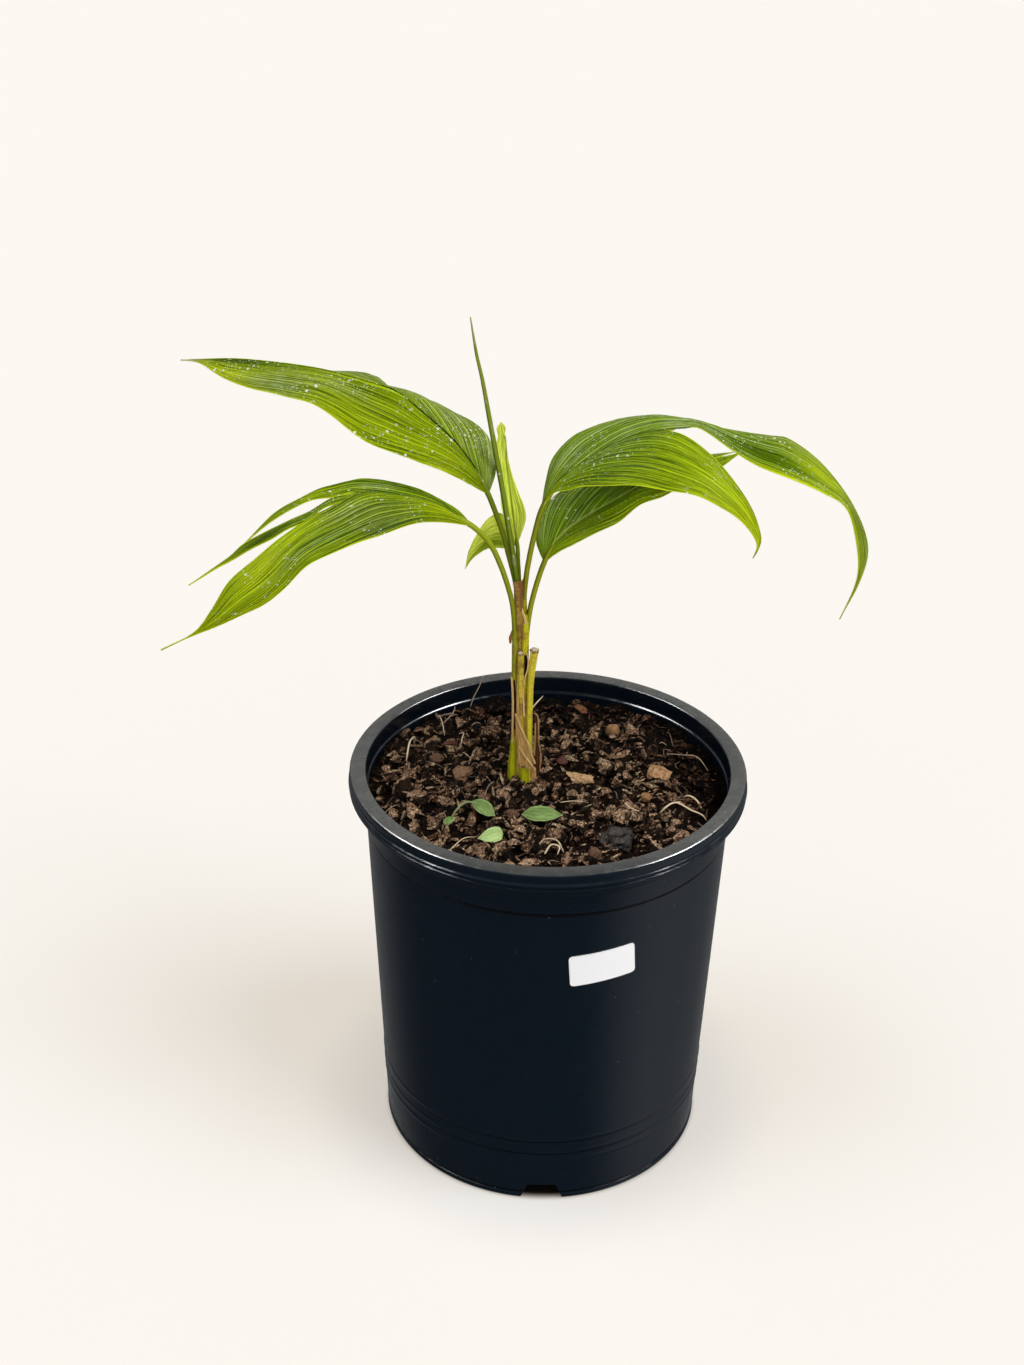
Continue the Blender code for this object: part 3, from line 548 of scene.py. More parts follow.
@dataclass(frozen=True)
class Finish:
    """A named finish, whose material is made once."""

    name: str

    @cache
    def material(self) -> bpy.types.Material:
        """The finish as a material."""
        made = bpy.data.materials.new(self.name)
        made.use_nodes = True
        self.paint(Graph(made.node_tree))
        return made

    def paint(self, graph: Graph) -> None:
        """Fill the material's graph."""
        raise NotImplementedError

    def coat(self, graph: Graph, colour, roughness, height, depth: float,
             specular: float = 0.5) -> bpy.types.Node:
        """Feed the material's shader.

        Args:
            graph: The material's graph.
            colour: The base colour.
            roughness: The roughness.
            height: The height of the fine relief, from 0 to 1.
            depth: The depth of the relief in mm.
            specular: How strongly the surface mirrors.

        Returns:
            The shader.
        """
        shader = graph.tree.nodes["Principled BSDF"]
        bump = graph.node("Bump", {"Height": height, "Distance": depth * MM, "Strength": 1.0}).outputs[0]
        given = {"Base Color": colour, "Roughness": roughness, "Normal": bump, "Specular IOR Level": specular}
        for label, value in given.items():
            graph.feed(shader.inputs[label], value)
        return shader


@dataclass(frozen=True)
class BladeFinish(Finish):
    """The skin of a leaf blade: veined green that turns lime or dry, with painted sheen and painted shade, by
    the mesh's fields.
    """

    deep: Colour = (0.017, 0.055, 0.0008)
    bright: Colour = (0.31, 0.435, 0.0034)
    lime: Colour = (0.56, 0.66, 0.010)
    rib: Colour = (0.012, 0.032, 0.002)
    # Colour of the painted sheen, a pale veil along the veins.
    painted_sheen: Colour = (0.47, 0.54, 0.25)
    speck: Colour = (0.78, 0.80, 0.66)
    dry: Colour = (0.62, 0.52, 0.30)
    finer: float = 2.0
    rib_width: float = 0.8
    speck_share: float = 0.30
    roughness: float = 0.36
    gloss: float = 0.008

    def spots(self, graph: Graph) -> Socket:
        """Dried water spots, large and small, that lie in patches."""
        large = graph.specks(470.0, 0.42, self.speck_share * 0.8)
        small = graph.specks(1050.0, 0.50, self.speck_share)
        patches = graph.remap(graph.noise(graph.place(), 45.0, 3.0, 0.6), 0.46, 0.60, 0.05, 1.0)
        return graph.times(graph.sum(Op.MAXIMUM, large, graph.times(small, 0.7)), patches)

    def paint(self, graph: Graph) -> None:
        """Veins, then what the mesh's fields add, then spots."""
        veins = graph.group(leaf_veins, Finer=self.finer)
        strong, lines, thread = veins["Strong"], veins["Lines"], veins["Thread"]
        level = graph.total((veins["Band"], 0.20), (thread, 0.40), (lines, 0.40))
        between = graph.times(graph.remap(strong, 0.0, 1.0), graph.remap(veins["Fine"], 0.0, 1.0, 0.55, 1.0))
        between = graph.times(between, graph.remap(level, 0.2, 0.8, 0.16, 1.0))
        lit = graph.times(graph.field("lime"), graph.remap(level, 0.15, 0.7, 0.25, 1.0))
        shade = graph.times(graph.field("shade"), graph.remap(lines, 0.0, 1.0, 1.0, 0.7))
        # Painted sheen along the veins, and painted shade from the shade field above.
        sheen_mask = graph.times(graph.field("painted_sheen"), graph.remap(graph.times(strong, lines), 0.1, 0.8, 0.05, 1.0))
        cloudy = graph.remap(graph.noise(graph.place(), 120.0, 5.0, 0.7), 0.38, 0.6, 0.35, 1.0)
        spots = self.spots(graph)
        colour = graph.layered(
            graph.mix(between, self.deep, self.bright),
            (lit, self.lime),
            (shade, tuple(channel * 0.7 for channel in self.deep)),
            (graph.times(sheen_mask, cloudy), self.painted_sheen),
            (graph.remap(graph.field("rib"), self.rib_width, self.rib_width * 0.4), self.rib),
            (graph.remap(graph.field("edge"), 0.5, 0.1, 0.0, 0.8), self.lime),
            (graph.field("dry"), self.dry),
            (graph.times(spots, 0.85), self.speck),
        )
        smooth = graph.remap(thread, 0.0, 1.0, self.roughness - 0.08, self.roughness + 0.08)
        height = graph.total((lines, 0.5), (thread, 0.7), (strong, 0.8), (spots, 0.6))
        roughness = graph.plus(smooth, graph.times(spots, 0.2))
        shader = self.coat(graph, colour, roughness, height, 0.16, self.gloss)
        shader.inputs["Subsurface Weight"].default_value = 0.06
        shader.inputs["Subsurface Radius"].default_value = (0.5, 1.0, 0.1)
        shader.inputs["Subsurface Scale"].default_value = 0.0012


@dataclass(frozen=True)
class StalkFinish(Finish):
    """The skin of a stalk, sheath bundle or rolled leaf, from its foot to its tip."""

    foot: Colour
    tip: Colour
    stain: Colour
    stain_share: float = 0.3
    lengthwise: float = 6.0
    round_count: float = 16.0
    roughness: float = 0.45
    specks: float = 0.0
    ridge: float = 0.12
    contrast: float = 0.45
    flecks: float = 0.0
    # Strength of the painted shade on the stalk's left side.
    shade_side: float = 0.30

    def paint(self, graph: Graph) -> None:
        """A blend from foot to tip with streaks and stains along the fibres, and painted shade on its left.
        """
        streak = graph.group(streaks, Lengthwise=self.lengthwise, Round=self.round_count)
        grain = graph.group(grains, Fineness=700.0)
        base = graph.mix(graph.field("along"), self.foot, self.tip)
        dark = graph.mix(0.55, base, (0.03, 0.05, 0.004))
        stained = graph.times(graph.remap(grain["Blotch"], 1.0 - self.stain_share, 1.0),
                              graph.remap(streak["Fine"], 0.3, 0.55))
        left = graph.facing((-0.95, -0.25, 0.0))
        base = graph.layered(
            base,
            (graph.times(streak["Value"], self.contrast), dark),
            (graph.times(stained, min(1.0, self.stain_share * 2.5)), self.stain),
            (graph.times(graph.remap(grain["Fine"], 0.50, 0.62), self.flecks),
             tuple(channel * 0.5 for channel in self.stain)),
            # Painted shade: the side that faces left is darkened towards deep green.
            (graph.remap(left, 0.30, 0.95, 0.0, self.shade_side), (0.035, 0.06, 0.004)),
        )
        if self.specks:
            spots = graph.times(graph.specks(420.0, 0.30, self.specks), 0.8)
            base = graph.mix(spots, base, (0.75, 0.76, 0.62))
        roughness = graph.remap(streak["Fine"], 0.2, 0.8, self.roughness - 0.1, self.roughness + 0.15)
        self.coat(graph, base, roughness, streak["Fine"], self.ridge, 0.04)


@dataclass(frozen=True)
class DryFinish(Finish):
    """Dead fibre: dry sheaths, husks and brown strips."""

    light: Colour
    dark: Colour

    def paint(self, graph: Graph) -> None:
        """Papery streaks along the fibres, dull and ribbed."""
        streak = graph.group(streaks, Lengthwise=3.0, Round=22.0)
        grain = graph.group(grains, Fineness=900.0)
        base = graph.layered(
            graph.mix(streak["Value"], self.light, self.dark),
            (graph.times(grain["Blotch"], 0.3), self.dark),
            (graph.remap(streak["Fine"], 0.45, 0.7, 0.0, 0.7), self.light),
        )
        self.coat(graph, base, graph.remap(grain["Fine"], 0.3, 0.7, 0.65, 0.95), streak["Fine"], 0.25, 0.05)


@dataclass(frozen=True)
class MixFinish(Finish):
    """Bark and peat mix: brown crumbs and a few pale shreds, with painted shade in the hollows and cracks and
    on what faces away from the lit side.
    """

    cells: float = 560.0
    dark: Colour = (0.0045, 0.0028, 0.0020)
    middle: Colour = (0.50, 0.275, 0.165)
    light: Colour = (0.92, 0.60, 0.37)
    red: Colour = (0.20, 0.070, 0.034)
    # The way that lit faces point; faces turned from it get painted shade.
    lit_side: Point = (-0.50, 0.10, 0.86)

    def paint(self, graph: Graph) -> None:
        """Colour from each crumb's tone and height, cracked and gritty, with painted shade in the cracks, the
        hollows and under the crumbs, and on faces turned from the light.
        """
        grain = graph.group(grains, Fineness=1400.0)
        cracks = graph.group(clumps, Cells=self.cells)
        chips = graph.group(clumps, Cells=self.cells * 2.4)
        coarse = graph.noise(graph.place(), 620.0, 6.0, 0.75, 1.0)
        level = graph.total((graph.field("tone"), 0.66), (coarse, 0.24), (cracks["Tone"], 0.24),
                            (chips["Tone"], 0.16))
        base = graph.layered(
            graph.mix(graph.remap(level, 0.28, 0.72), self.dark, self.middle),
            (graph.remap(level, 0.50, 0.88), self.light),
            (graph.times(graph.remap(grain["Blotch"], 0.75, 1.0), 0.5), self.red),
            (graph.remap(grain["Fine"], 0.62, 0.76, 0.0, 0.3), self.light),
            # Painted shade on crumb faces that turn away from the lit side.
            (graph.remap(graph.facing(self.lit_side), 0.12, 0.60, 0.92, 0.0), self.dark),
            # Painted shade in the cracks between the clumps and the chips.
            (graph.remap(cracks["Clump"], 0.0, 0.7, 0.9, 0.0), self.dark),
            (graph.remap(chips["Clump"], 0.0, 0.6, 0.7, 0.0), self.dark),
            # Painted shade in the hollows and on the undersides of the loose crumbs.
            (graph.remap(graph.field("hollow_shade"), 0.0, 1.0, 0.0, 0.92), self.dark),
        )
        height = graph.total((coarse, 1.0), (grain["Fine"], 0.5), (cracks["Clump"], 0.8),
                             (chips["Clump"], 0.4))
        self.coat(graph, base, graph.remap(coarse, 0.3, 0.7, 0.75, 1.0), height, 0.8, 0.02)


@dataclass(frozen=True)
class BarkFinish(Finish):
    """A loose chip or pebble on the mix."""

    light: Colour
    dark: Colour
    fineness: float = 700.0
    roughness: float = 0.8

    def paint(self, graph: Graph) -> None:
        """Mottled bark with pits and fine grain."""
        grain = graph.group(grains, Fineness=self.fineness)
        pits = graph.specks(420.0, 0.4, 0.3)
        base = graph.layered(
            graph.mix(graph.remap(grain["Fine"], 0.3, 0.7), self.dark, self.light),
            (graph.times(grain["Blotch"], 0.45), self.dark),
            (graph.times(pits, 0.7), self.dark),
        )
        uneven = graph.remap(grain["Fine"], 0.3, 0.7, self.roughness - 0.12, self.roughness + 0.12)
        height = graph.sum(Op.SUBTRACT, grain["Fine"], graph.times(pits, 0.6))
        self.coat(graph, base, uneven, height, 0.35, 0.06)


@dataclass(frozen=True)
class PlasticFinish(Finish):
    """Navy-black moulded plastic with dust and painted sheen on what faces up; the grooves, given as heights
    and reaches in mm, get painted shade.
    """

    colour: Colour = (0.0026, 0.0068, 0.0130)
    # Dust colour, which also stands in for the sheen of the rim top: partly painted sheen.
    dust: Colour = (0.094, 0.094, 0.088)
    roughness: float = 0.19
    groove_shades: tuple[tuple[float, float], ...] = ((183.1, 1.1), (38.9, 0.5), (30.9, 0.5), (3.7, 0.7))

    def paint(self, graph: Graph) -> None:
        """Fine moulding grain, faint rings, painted shade in the grooves, dust with painted sheen on the rim
        top, weaker at the front, and specks on the rim and ledges.
        """
        grain = graph.group(grains, Fineness=1100.0)
        blotch, z = grain["Blotch"], graph.axis(graph.place(), 2)
        upward = graph.remap(graph.facing((0.0, 0.0, 1.0)), 0.55, 0.98)
        dust_and_sheen = graph.times(upward, graph.remap(blotch, 0.0, 1.0, 0.86, 1.0))
        dust_and_sheen = graph.times(dust_and_sheen, graph.remap(z, 0.204, 0.209))
        # The painted sheen is weaker on the front of the rim.
        dust_and_sheen = graph.times(dust_and_sheen, graph.remap(graph.axis(graph.place(), 1), -0.099, -0.060, 0.55, 1.0))
        base = graph.mix(dust_and_sheen, self.colour, self.dust)
        # Painted shade: each groove is darkened towards black.
        for height, reach in self.groove_shades:
            away = graph.sum(Op.ABSOLUTE, graph.sum(Op.SUBTRACT, z, height * MM))
            base = graph.mix(graph.remap(away, reach * MM, 0.5 * reach * MM, 0.0, 0.85), base, BLACK)
        specks = graph.times(graph.specks(330.0, 0.16, 0.10), graph.remap(upward, 0.0, 1.0, 0.10, 0.75))
        base = graph.mix(specks, base, (0.40, 0.37, 0.32))
        worn = graph.remap(blotch, 0.0, 1.0, self.roughness - 0.04, self.roughness + 0.05)
        rings = graph.noise(graph.gathered(0.0, 0.0, z), 420.0, 3.0, 0.6)
        relief = graph.total((grain["Fine"], 0.5), (rings, 1.0))
        self.coat(graph, base, graph.plus(worn, graph.times(dust_and_sheen, 0.10)), relief, 0.005, 0.40)


@dataclass(frozen=True)
class PaperFinish(Finish):
    """The blank white label."""

    colour: Colour = (0.90, 0.905, 0.935)
    soiled: Colour = (0.74, 0.74, 0.76)

    def paint(self, graph: Graph) -> None:
        """Smooth coated paper with a trace of fibre and a slightly soiled edge."""
        fine = graph.group(grains, Fineness=1600.0)["Fine"]
        base = graph.layered(self.colour, (graph.remap(fine, 0.3, 0.7, 0.0, 0.25), self.soiled),
                             (graph.remap(graph.field("edge"), 0.6, 0.05, 0.0, 0.8), self.soiled))
        self.coat(graph, base, graph.remap(fine, 0.3, 0.7, 0.3, 0.42), fine, 0.01)


@dataclass(frozen=True)
class RootFinish(Finish):
    """Pale roots and fibres."""

    pale: Colour = (0.66, 0.49, 0.29)
    brown: Colour = (0.17, 0.085, 0.040)

    def paint(self, graph: Graph) -> None:
        """Pale with brown stretches, each strand by its own tone."""
        blotch = graph.noise(graph.place(), 160.0, 4.0, 0.65)
        level = graph.plus(graph.field("tone"), graph.sum(Op.SUBTRACT, blotch, 0.5))
        base = graph.mix(graph.remap(level, 0.2, 0.8), self.pale, self.brown)
        self.coat(graph, base, graph.remap(blotch, 0.3, 0.7, 0.55, 0.85), blotch, 0.15)


def dress(piece: Object, finish: Finish, nodes: Sequence[str] = ()) -> Object:
    """Give a piece its finish, its body and the nodes that it stands for.

    Args:
        piece: The piece.
        finish: Its finish.
        nodes: The frame's nodes that the piece replaces.

    Returns:
        The piece.
    """
    piece.data.materials.clear()
    piece.data.materials.append(finish.material())
    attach(piece, BODY)
    if nodes:
        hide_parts(*nodes)
    LOG.info("%s: %d faces", piece.name, len(piece.data.polygons))
    return piece


# Pot and label


def stepped(radius: float, height: float, *steps: tuple[float, float]) -> list[tuple[float, float]]:
    """Corners of a section, given as steps from one of its places."""
    return [(radius + out, height + up) for out, up in steps]


@dataclass
class Pot:
    """The nursery pot: a turned shell with notches in its foot and holes in its floor."""

    height: float = 211.0
    rim_radius: float = 100.0
    mouth_radius: float = 91.2
    wall_top_radius: float = 91.26
    wall_top: float = 182.8
    base_radius: float = 83.4
    wall: float = 1.8
    floor_top: float = 12.5
    floor_under: float = 10.5
    foot_width: float = 2.6
    pad_radius: float = 14.0
    step_radius: float = 95.6
    step: float = 196.0
    skirt: float = 203.2
    ledge: float = 201.5
    ring_heights: tuple[float, ...] = (40.5, 32.5, 27.0)
    ring_depth: float = 0.4
    ring_reach: float = 1.2
    notches: int = 3
    drains: int = 6
    notch_width: float = 21.6
    notch_top_width: float = 14.4
    notch_height: float = 9.4
    notch_corner: float = 2.0
    drain_radius: float = 4.0
    drain_circle: float = 60.0
    steps: int = 240
    corner: float = 1.3
    crease: float = 35.0

    def wall_radius(self, z: float) -> float:
        """Outer radius of the plain tapered wall at a height."""
        return self.base_radius + (self.wall_top_radius - self.base_radius) * z / self.wall_top

    def profile(self) -> list[tuple[float, float]]:
        """Corners of the section, from the floor's centre up the inside and down the outside."""
        inner, foot = self.wall_top_radius - self.wall, self.base_radius - self.foot_width
        inside = [(0, self.floor_top), (self.wall_radius(self.floor_top) - self.wall, self.floor_top)]
        inside += [(inner, self.wall_top), (inner + 0.4, self.ledge)]
        inside += stepped(self.mouth_radius, self.ledge, (-0.2, 1.0))
        inside += stepped(self.mouth_radius, self.height, (-0.2, -0.8), (0.5, 0))
        rim = stepped(self.rim_radius, self.height, (-1.6, 0), (-0.6, -1.0))
        rim += stepped(self.rim_radius, self.skirt, (-1.3, 3.0), (-0.2, 2.0), (0, 1.3), (-1.2, 0.7),
                       (-1.3, 0.25), (-0.3, -0.65), (-0.4, -1.5))
        rim += stepped(self.step_radius, self.skirt, (0.6, -2.2), (0, -3.0))
        rim += stepped(self.step_radius, self.step, (-0.3, 1.0), (-1.3, 0))
        rim += stepped(self.wall_top_radius, self.step, (0.7, -1.2))
        rim += stepped(self.wall_top_radius, self.wall_top, (0.7, 1.4), (-0.5, 0.8), (-0.5, 0.2), (0, -0.4))
        rings = []
        for height in self.ring_heights:
            for up, out in ((self.ring_reach, 0.0), (0.0, self.ring_depth), (-self.ring_reach, 0.0)):
                rings.append((self.wall_radius(height + up) + out, height + up))
        under = [(self.wall_radius(z) + out, z) for z, out in ((4.6, 0.0), (4.0, -0.7), (3.4, -0.7))]
        under += stepped(self.base_radius, 0, (0.4, 2.7), (0.3, 0.8), (-0.4, 0))
        under += [(foot, 0), (foot, self.floor_under), (self.pad_radius + 0.8, self.floor_under)]
        return inside + rim + rings + under + [(self.pad_radius, 0), (0, 0)]

    def rounded(self) -> np.ndarray:
        """The section with each corner turned into a small bend."""
        corners = np.array(self.profile(), float)
        made = [corners[0]]
        for before, corner, after in zip(corners, corners[1:], corners[2:]):
            back, ahead = before - corner, after - corner
            reach = min(self.corner, 0.45 * np.linalg.norm(back), 0.45 * np.linalg.norm(ahead))
            start = corner + back / np.linalg.norm(back) * reach
            end = corner + ahead / np.linalg.norm(ahead) * reach
            for share in (0.0, 0.33, 0.67, 1.0):
                made.append((1 - share)**2 * start + 2 * share * (1 - share) * corner + share**2 * end)
        made.append(corners[-1])
        return np.array(made)

    def shell(self) -> Object:
        """The section turned round the axis."""
        section = self.rounded()[1:-1]
        angle = around(self.steps)
        radius, height = section[:, :1], section[:, 1:]
        x, y = radius * np.cos(angle), radius * np.sin(angle)
        points = np.stack([x, y, np.broadcast_to(height, x.shape)], axis=-1).reshape(-1, 3)
        faces = ring_faces(len(section), self.steps, INWARD)
        return mesh_piece("pot_shell", points, faces, crease=self.crease)

    def notch(self, turn: float) -> Object:
        """A cutter for one notch: a round-cornered trapezoid pushed out through the foot.

        Args:
            turn: Where it stands round the axis, in radians.

        Returns:
            The cutter.
        """
        half, top, corner = self.notch_width / 2, self.notch_top_width / 2, self.notch_corner
        outline = [(-half - 0.9, -2.0), (-half, 0.4), (-top - 0.6, self.notch_height - corner)]
        outline += [(-top - 0.6 + corner * (1 - math.cos(a)), self.notch_height - corner * (1 - math.sin(a)))
                    for a in (0.5, 1.0, math.pi / 2)]
        outline += [(-x, z) for x, z in reversed(outline)]
        points = [(self.base_radius + reach, x, z) for reach in (-8, 6) for x, z in outline]
        count = len(outline)
        faces = [[k, (k + 1) % count, (k + 1) % count + count, k + count] for k in range(count)]
        faces += [list(range(count))[::-1], list(range(count, 2 * count))]
        made = mesh_piece("notch", np.array(points), faces)
        made.data.transform(Matrix.Rotation(turn, 4, "Z"))
        return made

    def drain(self, turn: float) -> Object:
        """A cutter for one round hole through the floor.

        Args:
            turn: Where it stands round the axis, in radians.

        Returns:
            The cutter.
        """
        middle = (self.floor_top + self.floor_under) / 2
        centre = self.drain_circle * np.array([math.cos(turn), math.sin(turn)])
        path = np.array([(*centre, middle - 4), (*centre, middle + 4)])
        points, faces, _ = tube_parts(path, np.full(2, self.drain_radius), 32)
        return mesh_piece("drain", points, faces)

    def build(self) -> Object:
        """The finished pot."""
        pot = self.shell()
        group = bpy.data.collections.new("pot_cutters")
        bpy.context.scene.collection.children.link(group)
        cutters = [self.notch(math.tau * k / self.notches - math.pi / 2) for k in range(self.notches)]
        cutters += [self.drain(math.tau * k / self.drains - math.pi / 2) for k in range(self.drains)]
        for cutter in cutters:
            bpy.context.scene.collection.objects.unlink(cutter)
            shape = bmesh.new()
            shape.from_mesh(cutter.data)
            bmesh.ops.recalc_face_normals(shape, faces=shape.faces)
            shape.to_mesh(cutter.data)
            shape.free()
            group.objects.link(cutter)
        cut = pot.modifiers.new("cut", "BOOLEAN")
        cut.operation, cut.solver = "DIFFERENCE", "MANIFOLD"
        cut.operand_type, cut.collection = "COLLECTION", group
        bpy.context.view_layer.update()
        evaluated = pot.evaluated_get(bpy.context.evaluated_depsgraph_get())
        mesh = bpy.data.meshes.new_from_object(evaluated)
        pot.modifiers.clear()
        pot.data = mesh
        pot.data.shade_smooth()
        pot.data.set_sharp_from_angle(angle=math.radians(self.crease))
        for cutter in list(group.objects):
            bpy.data.objects.remove(cutter, do_unlink=True)
        bpy.data.collections.remove(group)
        return dress(pot, PlasticFinish("navy_plastic"), ["pot"])


@dataclass
class Label:
    """The blank label on the wall, bent round it, with rounded corners."""

    pot: Pot
    width: float = 33.2
    height: float = 18.0
    corner: float = 2.0
    thickness: float = 0.35
    stand: float = 0.32
    middle: float = 150.9
    turn: float = 17.2
    tilt: float = 4.6
    columns: int = 72
    rows: int = 56

    def build(self) -> Object:
        """The finished label."""
        up = np.linspace(-0.5, 0.5, self.rows + 1)[:, None] * self.height
        into = np.maximum(0, np.abs(up) - (self.height / 2 - self.corner))
        inset = self.corner - np.sqrt(np.maximum(0.0, self.corner**2 - into**2))
        side = np.linspace(-0.5, 0.5, self.columns + 1)[None, :] * (self.width - 2 * inset)
        lean = math.radians(self.tilt)
        x = side * math.cos(lean) - up * math.sin(lean)
        z = self.middle + side * math.sin(lean) + up * math.cos(lean)
        radius = self.pot.wall_radius(z) + self.stand + self.thickness / 2
        angle = math.radians(self.turn) + x / radius
        grid = np.stack([radius * np.sin(angle), -radius * np.cos(angle), z], axis=-1)
        edge = np.minimum(self.height / 2 - np.abs(up), self.width / 2 - inset - np.abs(side))
        made = sheet("blank_label", grid, self.thickness, {"edge": edge})
        return dress(made, PaperFinish("label_white"), ["label"])


# Potting mix and what lies in it


def clipped(points: np.ndarray, draw: np.random.Generator, planes: int, near: float) -> np.ndarray:
    """A unit shape with flat sides cut by random planes.

    Args:
        points: Points of the shape.
        draw: Random draws.
        planes: How many flat sides.
        near: The nearest that a side comes to the centre.

    Returns:
        The points, moved onto the planes that they stood out of.
    """
    made = points.copy()
    for _ in range(planes):
        facing = draw.normal(size=3)
        facing /= np.linalg.norm(facing)
        over = made @ facing - (near + (0.9 - near) * draw.random())
        made -= np.maximum(over, 0)[:, None] * facing
    return made


@dataclass(frozen=True)
class Scatter:
    """One kind of loose crumb on the mix.

    Sizes are in mm, and stretch gives the least and the most of a crumb's width and height to its length.
    """

    name: str
    count: int
    low: float
    high: float
    detail: int
    seed: int
    stretch: tuple[float, float] = (0.42, 1.0)
    planes: int = 7
    near: float = 0.45
    sink: float = 0.2
    tilt: float = 1.0
    tone: float = 0.6


def covers(x: float, y: float, reach: float) -> bool:
    """Whether a crumb would lie on a loose chip or root, or hide it from the front.

    Args:
        x: Its place across.
        y: Its place in depth.
        reach: Half its length.

    Returns:
        True where it would.
    """
    for chip in CHIPS:
        wide, deep = chip.size[0] / 2 + reach, chip.size[1] / 2 + reach
        if abs(x - chip.x) < 0.9 * wide and -1.25 * deep < y - chip.y < 0.75 * deep:
            return True
    for path in ROOTS.values():
        if any(abs(x - place[0]) < reach + 1 and -1.7 * reach < y - place[1] < reach for place in path[1:-1]):
            return True
    return False


